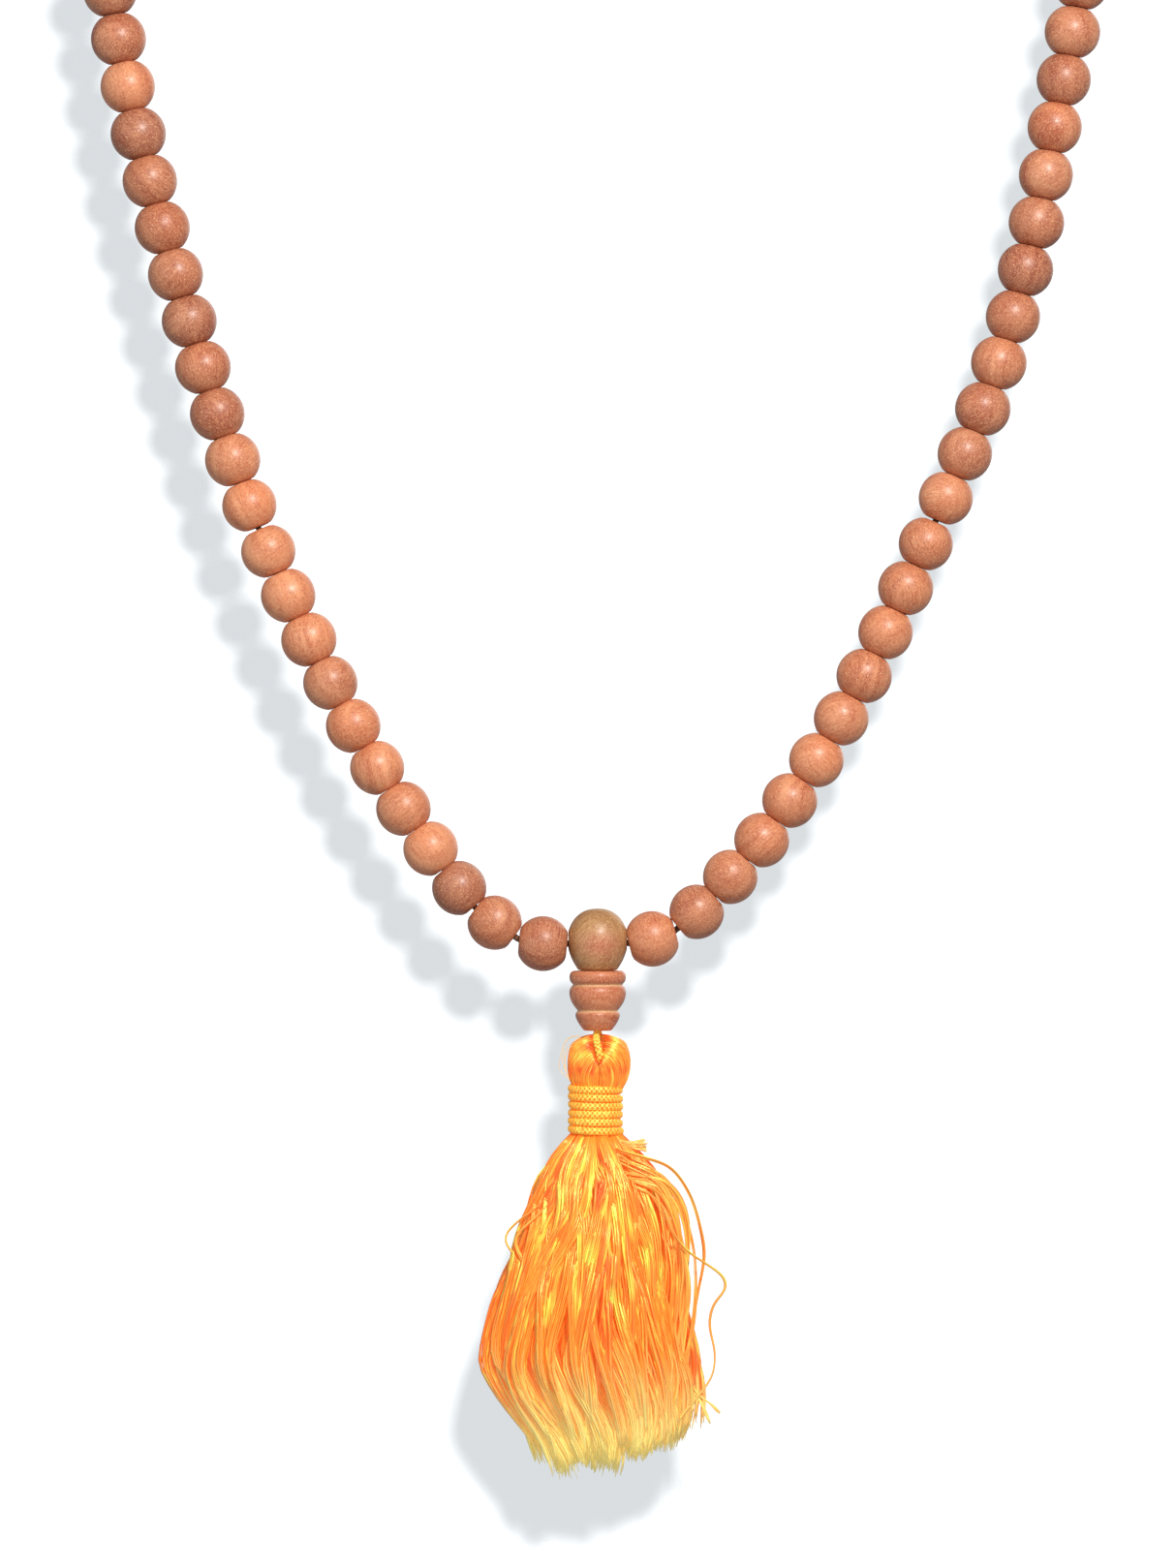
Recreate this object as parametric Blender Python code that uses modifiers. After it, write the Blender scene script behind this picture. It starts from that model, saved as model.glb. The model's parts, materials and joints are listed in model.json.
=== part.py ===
"""Mala: a loop of turned wooden beads on a cord, closed by a guru bead, a tower bead and a silk tassel.

The loop hangs in the XZ plane with +Z up and +Y towards the back. The origin is the point of the string
midway between the two topmost beads, where a neck or a peg carries the loop. Heights below are worked out
from the middle of the guru bead, and GURU_Z puts them in the model's frame.
"""
import math

import bmesh
import bpy
from mathutils import Vector

MM = 0.001

# The turned beads: 54 a side, and 23 a side hang as separate pieces
BEAD_RADIUS = 4.0 * MM
BEAD_LENGTH = 6.7 * MM
BEAD_FLAT_RADIUS = 1.7 * MM
BEAD_BORE_RADIUS = 0.8 * MM
BEAD_PITCH = 7.05 * MM
BEAD_SIDES = 10
RIM_CLEARANCE = 0.12 * MM
SHOULDER_RADIUS = 3.12 * MM
SHOULDER_REACH = 2.4 * MM
BORE_SIDES = 16
FREE_BEADS = 23
LOWER_BEADS = 11
UPPER_BEADS = 14
ARCH_BEADS = 17

# The string and the places where the loop folds
STRING_RADIUS = 0.5 * MM
FOLD_PITCH = 7.25 * MM
FOLD_CUT = 0.15 * MM
STRAIGHT_STRING = 2.9 * MM
STRAIGHT_IN_GURU = 3.8 * MM
STRING_IN_GURU_Z = -0.3 * MM

# The arch that the loop makes over what carries it
ARCH_RADIUS = 76.0 * MM
ARCH_SPRING_Z = 241.0 * MM
GURU_Z = -(ARCH_SPRING_Z + ARCH_RADIUS)

# The guru bead and the tower bead under it
GURU_HALF_WIDTH = 4.4 * MM
GURU_BORE_RADIUS = 1.2 * MM
CORD_BORE_RADIUS = 1.45 * MM
TOWER_BOTTOM_Z = -13.15 * MM
TURNED_SIDES = 20

# The braided cord that carries the tassel
CORD_RADIUS = 0.55 * MM
LEG_OFFSET = 0.58 * MM
CORD_TOP_Z = -1.25 * MM
SWING_Z = -13.3 * MM
CORD_GROOVE = 0.3 * MM

# The silk tassel
NECK_RADIUS = 3.2 * MM
BINDING_TOP_Z = -21.25 * MM
BINDING_BOTTOM_Z = -28.45 * MM
BINDING_TURNS = 7
BINDING_RADIUS = 4.05 * MM
SKIRT_PIVOT_Z = -28.75 * MM
SKIRT_DEPTH = 0.74

# Route of the string from the guru bead up each side, in millimetres from the guru bead's middle
LEFT_ROUTE = [
    (0, -0.3), (-4.4, -0.45), (-8.0, -0.8), (-14.2, 1.7), (-19.7, 6.8), (-24.0, 12.6), (-31.9, 24.5),
    (-38.7, 36.8), (-44.8, 49.4), (-50.4, 62.3), (-55.1, 75.6), (-59.3, 89.5), (-63.3, 103.3),
    (-66.8, 117.0), (-69.6, 130.4), (-72.4, 148), (-74.9, 173), (-76, 206), (-76, 241),
]
RIGHT_ROUTE = [
    (0, -0.3), (4.4, -0.3), (8.0, -0.1), (13.9, 3.4), (19.0, 8.6), (23.8, 14.2), (32.0, 26.2),
    (39.1, 38.8), (45.2, 51.8), (50.8, 64.4), (56.1, 77.2), (60.4, 90.4), (63.8, 104.0),
    (66.4, 117.6), (68.9, 131.0), (71.8, 148), (74.7, 173), (76, 206), (76, 241),
]

# Wood of each hanging bead, from the guru bead upwards: d dark, r red, m middle, o orange, l light
LEFT_WOODS = "rmdlollmllllormdrrrdord"
RIGHT_WOODS = "ormoolomommorrmrdrrmdrd"
WOODS = {
    "d": ("wood_dark", (0.36, 0.125, 0.07)),
    "r": ("wood_red", (0.46, 0.17, 0.09)),
    "m": ("wood_middle", (0.53, 0.215, 0.11)),
    "o": ("wood_orange", (0.60, 0.25, 0.12)),
    "l": ("wood_light", (0.68, 0.33, 0.17)),
}


def clear_scene():
    """Removes whatever the scene holds."""
    for thing in list(bpy.data.objects):
        bpy.data.objects.remove(thing, do_unlink=True)


def new_collection(name):
    """Makes a collection under the scene."""
    group = bpy.data.collections.new(name)
    bpy.context.scene.collection.children.link(group)
    return group


clear_scene()
PARTS = new_collection("mala")
CUTTERS = new_collection("cutters")


def material(name, colour, roughness):
    """A plain finish, made once for each name."""
    found = bpy.data.materials.get(name)
    if found:
        return found
    made = bpy.data.materials.new(name)
    made.use_nodes = True
    shader = made.node_tree.nodes["Principled BSDF"]
    shader.inputs["Base Color"].default_value = (*colour, 1)
    shader.inputs["Roughness"].default_value = roughness
    shader.inputs["Metallic"].default_value = 0
    return made


def wood(name, colour):
    """Waxed wood."""
    return material(name, colour, 0.45)


def string_finish():
    """Twisted cotton string."""
    return material("string", (0.30, 0.12, 0.06), 0.85)


def silk(name, colour):
    """Shiny orange silk."""
    return material(name, colour, 0.4)


def place(name, mesh, finish, at, group=PARTS):
    """Puts a mesh in the scene as a named object."""
    thing = bpy.data.objects.new(name, mesh)
    thing.location = at
    if finish and not mesh.materials:
        mesh.materials.append(finish)
    group.objects.link(thing)
    return thing


def as_cutter(thing):
    """Marks an object as a guide that is not part of the mala."""
    thing.hide_render = True
    thing.display_type = "WIRE"
    return thing


def evaluated_mesh(thing, name):
    """The mesh of an object with its modifiers or its bevel; the object itself is removed."""
    bpy.context.view_layer.update()
    seen = thing.evaluated_get(bpy.context.evaluated_depsgraph_get())
    mesh = bpy.data.meshes.new_from_object(seen)
    mesh.name = name
    bpy.data.objects.remove(thing, do_unlink=True)
    return mesh


def turned_mesh(name, profile, sides, closed):
    """A solid of revolution about Z from (radius, height) points that run down the outer side."""
    mesh = bpy.data.meshes.new(name)
    count = len(profile)
    edges = [(i, i + 1) for i in range(count - 1)]
    if closed:
        edges.append((count - 1, 0))
    mesh.from_pydata([(r, 0, z) for r, z in profile], edges, [])
    thing = place(name + "_profile", mesh, None, (0, 0, 0), CUTTERS)
    screw = thing.modifiers.new("turn", "SCREW")
    screw.steps = sides
    screw.render_steps = sides
    screw.use_merge_vertices = True
    screw.merge_threshold = 0.000001
    turned = evaluated_mesh(thing, name)
    turned.shade_smooth()
    turned.set_sharp_from_angle(angle=math.radians(40))
    return turned


def tube(name, points, radius, finish, radii=None, group=PARTS):
    """A round tube with filled ends along points, with one radius or one for each point."""
    curve = bpy.data.curves.new(name, "CURVE")
    curve.dimensions = "3D"
    curve.bevel_depth = radius
    curve.bevel_resolution = 2
    curve.use_fill_caps = True
    line = curve.splines.new("POLY")
    line.points.add(len(points) - 1)
    for i, point in enumerate(points):
        line.points[i].co = (*point, 1)
        line.points[i].radius = radii[i] / radius if radii else 1
    thing = bpy.data.objects.new(name, curve)
    if finish:
        curve.materials.append(finish)
    group.objects.link(thing)
    return thing


def cut(thing, cutter):
    """Takes a cutter's shape out of an object."""
    take = thing.modifiers.new(cutter.name, "BOOLEAN")
    take.object = as_cutter(cutter)


def hang(thing, carrier):
    """Parents an object and leaves it where it is."""
    bpy.context.view_layer.update()
    thing.parent = carrier
    thing.matrix_parent_inverse = carrier.matrix_world.inverted()


def axis_marker(name, at):
    """An empty that stands on a joint's axis."""
    marker = bpy.data.objects.new(name, None)
    marker.empty_display_size = 3 * MM
    marker.location = at
    PARTS.objects.link(marker)
    return marker


class Side:
    """One side of the loop: a smooth route from the guru bead to the top of the arch."""

    SAMPLES = 24
    ARCH_SAMPLES = 180

    def __init__(self, name, knots, woods):
        self.name = name
        self.woods = woods
        self.points = self.smooth([Vector((x, 0, z)) * MM for x, z in knots])
        self.add_arch()
        self.lengths = [0.0]
        for a, b in zip(self.points, self.points[1:]):
            self.lengths.append(self.lengths[-1] + (b - a).length)
        self.stations = self.set_out()

    def smooth(self, knots):
        """A Catmull-Rom curve through the knots."""
        ends = [knots[0] * 2 - knots[1]] + knots + [knots[-1] * 2 - knots[-2]]
        line = []
        for a, b, c, d in zip(ends, ends[1:], ends[2:], ends[3:]):
            for step in range(self.SAMPLES):
                t = step / self.SAMPLES
                line.append(
                    (b * 2 + (c - a) * t + (a * 2 - b * 5 + c * 4 - d) * t * t
                     + (b * 3 - a - c * 3 + d) * t ** 3) / 2
                )
        return line

    def add_arch(self):
        """The quarter circle from the straight strand to the top."""
        sign = math.copysign(1, self.points[-1].x)
        for step in range(self.ARCH_SAMPLES + 1):
            turn = math.pi / 2 * step / self.ARCH_SAMPLES
            x = sign * ARCH_RADIUS * math.cos(turn)
            self.points.append(Vector((x, 0, ARCH_SPRING_Z + ARCH_RADIUS * math.sin(turn))))

    def at(self, s):
        """The point at a distance along the string, from the guru bead's middle."""
        if s <= 0:
            return self.points[0].copy()
        for i in range(1, len(self.points)):
            if self.lengths[i] >= s:
                part = (s - self.lengths[i - 1]) / (self.lengths[i] - self.lengths[i - 1])
                return self.points[i - 1].lerp(self.points[i], part)
        return self.points[-1].copy()

    def along(self, s):
        """The string's direction at a distance along it."""
        reach = 0.45 * BEAD_LENGTH
        return (self.at(s + reach) - self.at(s - reach)).normalized()

    def set_out(self):
        """Distances of the bead centres. Beads touch rim to rim where the string bends."""
        found = [GURU_HALF_WIDTH + 0.25 * MM + BEAD_LENGTH / 2]
        while len(found) < FREE_BEADS:
            step = BEAD_PITCH
            for _ in range(4):
                bend = self.along(found[-1]).angle(self.along(found[-1] + step))
                rims = BEAD_LENGTH + RIM_CLEARANCE + 2 * BEAD_FLAT_RADIUS * math.sin(bend / 2)
                step = max(BEAD_PITCH, rims)
            if len(found) == LOWER_BEADS:
                step = FOLD_PITCH
            found.append(found[-1] + step)
        start = found[-1] + FOLD_PITCH
        held = UPPER_BEADS + ARCH_BEADS
        pitch = (self.lengths[-1] - start) / (held - 0.5)
        found += [start + pitch * i for i in range(held)]
        return found

    def boundary(self, beads):
        """The distance of the place between two beads, with this many beads below it."""
        return (self.stations[beads - 1] + self.stations[beads]) / 2

    def thread(self, low, high):
        """Points of the string through a run of beads: straight in each bore, bent between beads."""
        line = []
        for number in range(low, high + 1):
            s = self.stations[number - 1]
            reach = self.along(s) * STRAIGHT_STRING
            line += [self.at(s) - reach, self.at(s) + reach]
        return line


LEFT = Side("left", LEFT_ROUTE, LEFT_WOODS)
RIGHT = Side("right", RIGHT_ROUTE, RIGHT_WOODS)
GURU = Vector((0, 0, GURU_Z))


def lifted(points):
    """Points given from the guru bead's middle, in the model's frame."""
    return [GURU + point for point in points]


def level(z):
    """A place on the tassel's line, at a height from the guru bead's middle."""
    return GURU + Vector((0, 0, z))


def fold_place(beads):
    """The middle of the line across both strands where the loop folds."""
    ends = [side.at(side.boundary(beads)) for side in (LEFT, RIGHT)]
    return GURU + (ends[0] + ends[1]) / 2


def bead_mesh():
    """A bead: a fat barrel with flat ends and a bore."""
    half = BEAD_LENGTH / 2
    long_radius = half / math.sqrt(1 - (BEAD_FLAT_RADIUS / BEAD_RADIUS) ** 2)
    rim = math.asin(half / long_radius)
    outer = []
    for part in (1, 0.5, 0, -0.5, -1):
        turn = rim * part
        outer.append((BEAD_RADIUS * math.cos(turn), long_radius * math.sin(turn)))
    bore = [(BEAD_BORE_RADIUS, -half), (BEAD_BORE_RADIUS, half)]
    return turned_mesh("bead", outer + bore, BEAD_SIDES, closed=True)


def free_beads(side, low, high, carrier, shapes):
    """The separate beads of one side, from one number to another, counted from the guru bead."""
    for number in range(low, high + 1):
        s = side.stations[number - 1]
        slot, colour = WOODS[side.woods[number - 1]]
        if slot not in shapes:
            shapes[slot] = shapes["plain"].copy()
            shapes[slot].materials.append(wood(slot, colour))
        name = f"bead_{side.name}_{number:02d}"
        bead = place(name, shapes[slot], None, GURU + side.at(s))
        bead.rotation_euler = side.along(s).to_track_quat("Z", "Y").to_euler()
        hang(bead, carrier)


def beaded_run(name, places, finish):
    """Beads joined on their string, as one swept solid: places are (point, station kind) pairs."""
    radii = {"string": STRING_RADIUS, "shoulder": SHOULDER_RADIUS, "waist": BEAD_RADIUS}
    points = lifted([point for point, _ in places])
    return tube(name, points, BEAD_RADIUS, finish, [radii[kind] for _, kind in places])


def run_places(side, low, high, start, end):
    """The rings of a beaded run on one side, from the string's cut at start to its cut at end."""
    places = [(side.at(start), "string")]
    for number in range(low, high + 1):
        s = side.stations[number - 1]
        places.append((side.at(s - SHOULDER_REACH), "shoulder"))
        places.append((side.at(s), "waist"))
        places.append((side.at(s + SHOULDER_REACH), "shoulder"))
        between = side.boundary(number) if number < high else end
        places.append((side.at(between), "string"))
    return places


def make_arch():
    """The beads over the top of the loop, from the left strand to the right one."""
    first = FREE_BEADS + UPPER_BEADS + 1
    last = FREE_BEADS + UPPER_BEADS + ARCH_BEADS
    halves = []
    for side in (LEFT, RIGHT):
        start = side.boundary(first - 1) + FOLD_CUT
        halves.append(run_places(side, first, last, start, side.lengths[-1]))
    joined = halves[0] + halves[1][-2::-1]
    beaded_run("arch_beads", joined, wood("wood_arch", (0.52, 0.21, 0.11)))


def make_upper_strands(carrier):
    """The straight strands under the arch."""
    first = FREE_BEADS + 1
    last = FREE_BEADS + UPPER_BEADS
    for side in (LEFT, RIGHT):
        start = side.boundary(FREE_BEADS) + FOLD_CUT
        end = side.boundary(last) - FOLD_CUT
        places = run_places(side, first, last, start, end)
        run = beaded_run(f"upper_beads_{side.name}", places, wood("wood_upper", (0.50, 0.20, 0.10)))
        hang(run, carrier)


def make_middle_strands(carrier, shapes):
    """The middle stretch of each side: its string and its beads."""
    for side in (LEFT, RIGHT):
        start = side.at(side.boundary(LOWER_BEADS) + FOLD_CUT)
        end = side.at(side.boundary(FREE_BEADS) - FOLD_CUT)
        points = lifted([start] + side.thread(LOWER_BEADS + 1, FREE_BEADS) + [end])
        hang(tube(f"string_{side.name}", points, STRING_RADIUS, string_finish()), carrier)
        free_beads(side, LOWER_BEADS + 1, FREE_BEADS, carrier, shapes)


def make_lower_loop(carrier, shapes):
    """The bottom of the loop: one string through the guru bead, and its beads."""
    runs = []
    for side in (LEFT, RIGHT):
        inside_guru = Vector((math.copysign(STRAIGHT_IN_GURU, side.points[-2].x), 0, STRING_IN_GURU_Z))
        end = side.at(side.boundary(LOWER_BEADS) - FOLD_CUT)
        runs.append([inside_guru] + side.thread(1, LOWER_BEADS) + [end])
        free_beads(side, 1, LOWER_BEADS, carrier, shapes)
    points = runs[0][::-1] + runs[1]
    hang(tube("string_lower", lifted(points), STRING_RADIUS, string_finish()), carrier)


def make_guru(carrier):
    """The guru bead: bored across for the string and from below for the tassel's cord."""
    profile = [
        (0, 4.6), (1.7, 4.35), (3.0, 3.6), (3.95, 2.2), (4.38, 0.7), (4.35, -0.9),
        (4.0, -2.3), (3.45, -3.5), (2.95, -4.2), (2.6, -4.35), (0, -4.35),
    ]
    shape = turned_mesh("guru", [(r * MM, z * MM) for r, z in profile], TURNED_SIDES, closed=False)
    guru = place("guru_bead", shape, wood("wood_guru", (0.49, 0.27, 0.13)), GURU)
    reach = 2 * GURU_HALF_WIDTH
    across = [(GURU_BORE_RADIUS, reach), (GURU_BORE_RADIUS, -reach), (0, -reach), (0, reach)]
    bore = place("guru_bore", turned_mesh("guru_bore", across, BORE_SIDES, closed=True), None, GURU, CUTTERS)
    bore.rotation_euler = (0, math.pi / 2, 0)
    cut(guru, bore)
    down = [(CORD_BORE_RADIUS, 0), (CORD_BORE_RADIUS, -reach), (0, -reach), (0, 0)]
    well = place("guru_well", turned_mesh("guru_well", down, BORE_SIDES, closed=True), None, GURU, CUTTERS)
    cut(guru, well)
    hang(guru, carrier)
    return guru


def make_tower(carrier):
    """The turned tower bead: a disc, a bowl and a small cup, bored through."""
    bottom = TOWER_BOTTOM_Z / MM
    profile = [
        (3.75, -4.65), (4.08, -5.1), (4.05, -5.8), (3.62, -6.35), (3.62, -6.6), (4.0, -7.0),
        (4.1, -7.75), (3.85, -8.8), (3.1, -9.9), (2.95, -10.3), (3.15, -10.55), (3.2, -11.1),
        (2.85, -11.9), (2.05, bottom + 0.1), (1.9, bottom),
    ]
    outer = [(r * MM, z * MM - TOWER_BOTTOM_Z) for r, z in profile]
    bore = [(CORD_BORE_RADIUS, outer[-1][1]), (CORD_BORE_RADIUS, outer[0][1])]
    shape = turned_mesh("tower", outer + bore, TURNED_SIDES, closed=True)
    tower = place("tower_bead", shape, wood("wood_tower", (0.66, 0.25, 0.13)), level(TOWER_BOTTOM_Z))
    hang(tower, carrier)


def mirrored_route(points):
    """A route given for the front, carried on round the back."""
    back = [(-y, z) for y, z in reversed(points) if y != 0]
    return [GURU + Vector((0, y, z)) for y, z in points + back]


def make_cord(carrier):
    """The doubled cord inside the guru and tower beads, hooked over the string at its top."""
    turn_z = CORD_TOP_Z - CORD_RADIUS - LEG_OFFSET
    front = [(-LEG_OFFSET, TOWER_BOTTOM_Z), (-LEG_OFFSET, turn_z - 4 * MM), (-LEG_OFFSET, turn_z)]
    for degrees in (30, 60, 90):
        turn = math.radians(degrees)
        y = -LEG_OFFSET * math.cos(turn) if degrees < 90 else 0
        front.append((y, turn_z + LEG_OFFSET * math.sin(turn)))
    cord = tube("hanger_cord", mirrored_route(front), CORD_RADIUS, silk("cord", (0.90, 0.32, 0.02)))
    hang(cord, carrier)
    return cord


def loop_route():
    """The loop's route over the front of the silk head, under its folded silk and up the back."""
    start = SWING_Z - CORD_GROOVE / 2
    front = [(-0.6, -13.9), (-1.3, -14.4), (-2.5, -14.8), (-3.45, -15.7), (-3.75, -16.9),
             (-3.2, -18.0), (-2.0, -18.7), (0, -18.9)]
    return mirrored_route([(-LEG_OFFSET, start)] + [(y * MM, z * MM) for y, z in front])


def make_head(carrier):
    """The loop of cord, and the folded silk that it carries."""
    route = loop_route()
    hang(tube("tassel_loop", route, CORD_RADIUS, silk("cord", (0.90, 0.32, 0.02))), carrier)
    pivot = SWING_Z / MM
    profile = [
        (0, -13.65), (1.9, -13.95), (3.3, -14.9), (4.15, -16.4), (4.4, -18.1), (4.15, -19.7),
        (3.6, -20.9), (3.2, -20.95), (3.2, -28.45), (0, -28.45),
    ]
    points = [(r * MM, (z - pivot) * MM) for r, z in profile]
    shape = turned_mesh("head", points, TURNED_SIDES, closed=False)
    head = place("tassel_head", shape, silk("silk_head", (0.95, 0.38, 0.03)), level(SWING_Z))
    middle = len(route) // 2
    past = Vector((0, CORD_RADIUS, 0))
    cut_groove(head, "groove_front", route[:middle + 1] + [route[middle] + past])
    cut_groove(head, "groove_back", [route[middle] - past] + route[middle:])
    hang(head, carrier)


def cut_groove(head, name, route):
    """Takes a round groove for the cord out of the silk head."""
    mesh = evaluated_mesh(tube(name + "_path", route, CORD_RADIUS + CORD_GROOVE, None, group=CUTTERS), name)
    work = bmesh.new()
    work.from_mesh(mesh)
    bmesh.ops.remove_doubles(work, verts=work.verts, dist=0.000001)
    bmesh.ops.recalc_face_normals(work, faces=work.faces)
    work.to_mesh(mesh)
    work.free()
    cut(head, place(name, mesh, None, (0, 0, 0), CUTTERS))


def make_binding(carrier):
    """The cord wound round the neck of the silk, one ridge for each turn."""
    pitch = (BINDING_TOP_Z - BINDING_BOTTOM_Z) / BINDING_TURNS
    groove = BINDING_RADIUS - 0.3 * MM
    outer = []
    for turn in range(BINDING_TURNS):
        top = BINDING_TOP_Z - turn * pitch
        outer += [(groove, top), (BINDING_RADIUS, top - pitch / 2)]
    outer.append((groove, BINDING_BOTTOM_Z))
    inner = NECK_RADIUS + 0.3 * MM
    profile = [(r, z - SWING_Z) for r, z in outer + [(inner, BINDING_BOTTOM_Z), (inner, BINDING_TOP_Z)]]
    shape = turned_mesh("binding", profile, BORE_SIDES, closed=True)
    hang(place("tassel_binding", shape, silk("binding", (0.93, 0.40, 0.04)), level(SWING_Z)), carrier)


def make_skirt(carrier):
    """The body of loose threads, a little flatter than it is wide, that sways under the binding."""
    pivot = SKIRT_PIVOT_Z / MM
    profile = [
        (0, pivot), (4.4, -30.35), (7.6, -32.4), (10.6, -36.0), (13.6, -41.5), (15.1, -47.5),
        (15.8, -54.0), (15.8, -60.0), (14.2, -66.0), (11.0, -71.5), (6.5, -75.0), (0, -77.0),
    ]
    points = [(r * MM, (z - pivot) * MM) for r, z in profile]
    shape = turned_mesh("skirt", points, TURNED_SIDES, closed=False)
    for vertex in shape.vertices:
        vertex.co.y *= SKIRT_DEPTH
    finish = silk("silk_skirt", (1.0, 0.42, 0.04))
    hang(place("tassel_skirt", shape, finish, level(SKIRT_PIVOT_Z)), carrier)


def main():
    """Builds the mala from the top down."""
    shapes = {"plain": bead_mesh()}
    upper = axis_marker("fold_upper_axis", fold_place(FREE_BEADS + UPPER_BEADS))
    middle = axis_marker("fold_middle_axis", fold_place(FREE_BEADS))
    lower = axis_marker("fold_lower_axis", fold_place(LOWER_BEADS))
    hang(middle, upper)
    hang(lower, middle)
    make_arch()
    make_upper_strands(upper)
    make_middle_strands(middle, shapes)
    make_lower_loop(lower, shapes)
    guru = make_guru(lower)
    make_tower(guru)
    cord = make_cord(guru)
    swing = axis_marker("tassel_swing_axis", level(SWING_Z))
    hang(swing, cord)
    make_head(swing)
    make_binding(swing)
    make_skirt(swing)


main()
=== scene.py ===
"""Looks of the mala: waxed turned beads, a twisted string, braided cord and a silk tassel."""

import json
import math
import random

import bpy
import numpy as np
from mathutils import Matrix, Vector


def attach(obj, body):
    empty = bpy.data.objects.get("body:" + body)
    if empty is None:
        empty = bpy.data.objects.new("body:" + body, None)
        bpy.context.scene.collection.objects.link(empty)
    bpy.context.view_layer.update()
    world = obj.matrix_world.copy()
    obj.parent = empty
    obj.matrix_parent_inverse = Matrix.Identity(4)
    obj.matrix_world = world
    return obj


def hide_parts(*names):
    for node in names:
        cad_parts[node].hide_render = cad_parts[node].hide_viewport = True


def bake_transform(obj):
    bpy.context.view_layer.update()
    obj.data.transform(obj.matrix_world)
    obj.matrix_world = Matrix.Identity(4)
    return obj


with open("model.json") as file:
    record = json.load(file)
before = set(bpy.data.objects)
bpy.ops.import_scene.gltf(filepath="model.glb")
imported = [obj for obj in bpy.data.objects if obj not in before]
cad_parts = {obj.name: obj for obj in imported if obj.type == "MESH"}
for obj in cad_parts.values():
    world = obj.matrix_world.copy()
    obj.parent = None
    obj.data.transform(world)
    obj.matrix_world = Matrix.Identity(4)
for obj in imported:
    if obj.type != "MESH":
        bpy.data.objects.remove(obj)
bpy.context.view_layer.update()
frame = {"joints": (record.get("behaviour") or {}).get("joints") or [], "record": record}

MM = 0.001
JOINTS = {joint["name"]: joint for joint in frame["joints"]}
SLOTS = {part["node"]: part["material_slot"] for part in frame["record"]["subparts"]}
GURU = Vector(JOINTS["guru_swing"]["pos_m"])


# ---- camera, light and stage

VIEW_HEIGHT = 228 * MM
VIEW_DISTANCE = 1.1
VIEW_CENTRE = GURU + Vector((-1.4, 0, 22.7)) * MM
SENSOR = 36.0
WALL_GAP = 190 * MM
WALL_SIZE = 1.6
WALL_GLOW = 0.40
# How far the shadow shows to the right of the mala and above it, in millimetres
SHADOW_SHIFT = (-4.2, -10.5)
FLOOR_SIZE = 6.0
FLOOR_DROP = 350 * MM
FLOOR_GLOW = 0.45


def make_camera():
    """A long lens square to the front, framing the lower part of the loop."""
    data = bpy.data.cameras.new("camera")
    data.sensor_width = SENSOR
    data.lens = SENSOR * VIEW_DISTANCE / VIEW_HEIGHT
    data.clip_start = 0.01
    camera = bpy.data.objects.new("camera", data)
    camera.location = VIEW_CENTRE + Vector((0, -VIEW_DISTANCE, 0))
    camera.rotation_euler = (math.pi / 2, 0, 0)
    bpy.context.scene.collection.objects.link(camera)
    bpy.context.scene.camera = camera


def area_light(name, way, distance, size, power, tint):
    """A square soft light that shines on the middle of the view from one direction."""
    data = bpy.data.lights.new(name, "AREA")
    data.size = size
    data.energy = power
    data.color = tint
    light = bpy.data.objects.new(name, data)
    way = Vector(way).normalized()
    light.location = VIEW_CENTRE + way * distance
    light.rotation_euler = way.to_track_quat("Z", "Y").to_euler()
    bpy.context.scene.collection.objects.link(light)
    return light


def either(tree, choice, first, second, end):
    """Ends a shader tree in its first node or, where choice is 1, in its second."""
    choose = tree.nodes.new("ShaderNodeMixShader")
    tree.links.new(choice, choose.inputs["Fac"])
    tree.links.new(first.outputs[0], choose.inputs[1])
    tree.links.new(second.outputs[0], choose.inputs[2])
    tree.links.new(choose.outputs["Shader"], end.inputs["Surface"])


def make_lights(wall):
    """A soft key from the upper right, weak fills, and a plain white surround.

    The wall's lamp stands beside the camera, so that the wall can be clear of every swing of the mala
    while the shadow on it still falls close beside the beads.
    """
    key = area_light("key", (0.27, -1.0, 0.62), 0.75, 0.10, 6.0, (1, 0.98, 0.95))
    fill = area_light("fill", (-0.8, -0.8, 0.1), 0.9, 0.6, 1.0, (0.92, 0.97, 1))
    area_light("back_fill", (0.5, 1.0, 0.35), 0.9, 0.6, 1.6, (1, 0.99, 0.97))
    reach = (VIEW_DISTANCE + WALL_GAP) / WALL_GAP * MM
    way = Vector((-SHADOW_SHIFT[0] * reach, -VIEW_DISTANCE, -SHADOW_SHIFT[1] * reach))
    lamp = area_light("wall_lamp", way, way.length, 0.018, 9.0, (1, 0.99, 0.98))
    for light, state in ((key, "EXCLUDE"), (fill, "EXCLUDE"), (lamp, "INCLUDE")):
        linked = bpy.data.collections.new(f"{light.name}_wall")
        linked.objects.link(wall)
        linked.collection_objects[0].light_linking.link_state = state
        light.light_linking.receiver_collection = linked
    world = bpy.data.worlds.new("surround")
    world.use_nodes = True
    tree = world.node_tree
    lighting = tree.nodes["Background"]
    lighting.inputs["Color"].default_value = (0.90, 0.96, 1.0, 1)
    lighting.inputs["Strength"].default_value = 0.40
    seen = tree.nodes.new("ShaderNodeBackground")
    seen.inputs["Color"].default_value = (1, 1, 1, 1)
    path = tree.nodes.new("ShaderNodeLightPath")
    either(tree, path.outputs["Is Camera Ray"], lighting, seen, tree.nodes["World Output"])
    bpy.context.scene.world = world
    bpy.context.scene.view_settings.view_transform = "Standard"


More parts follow.
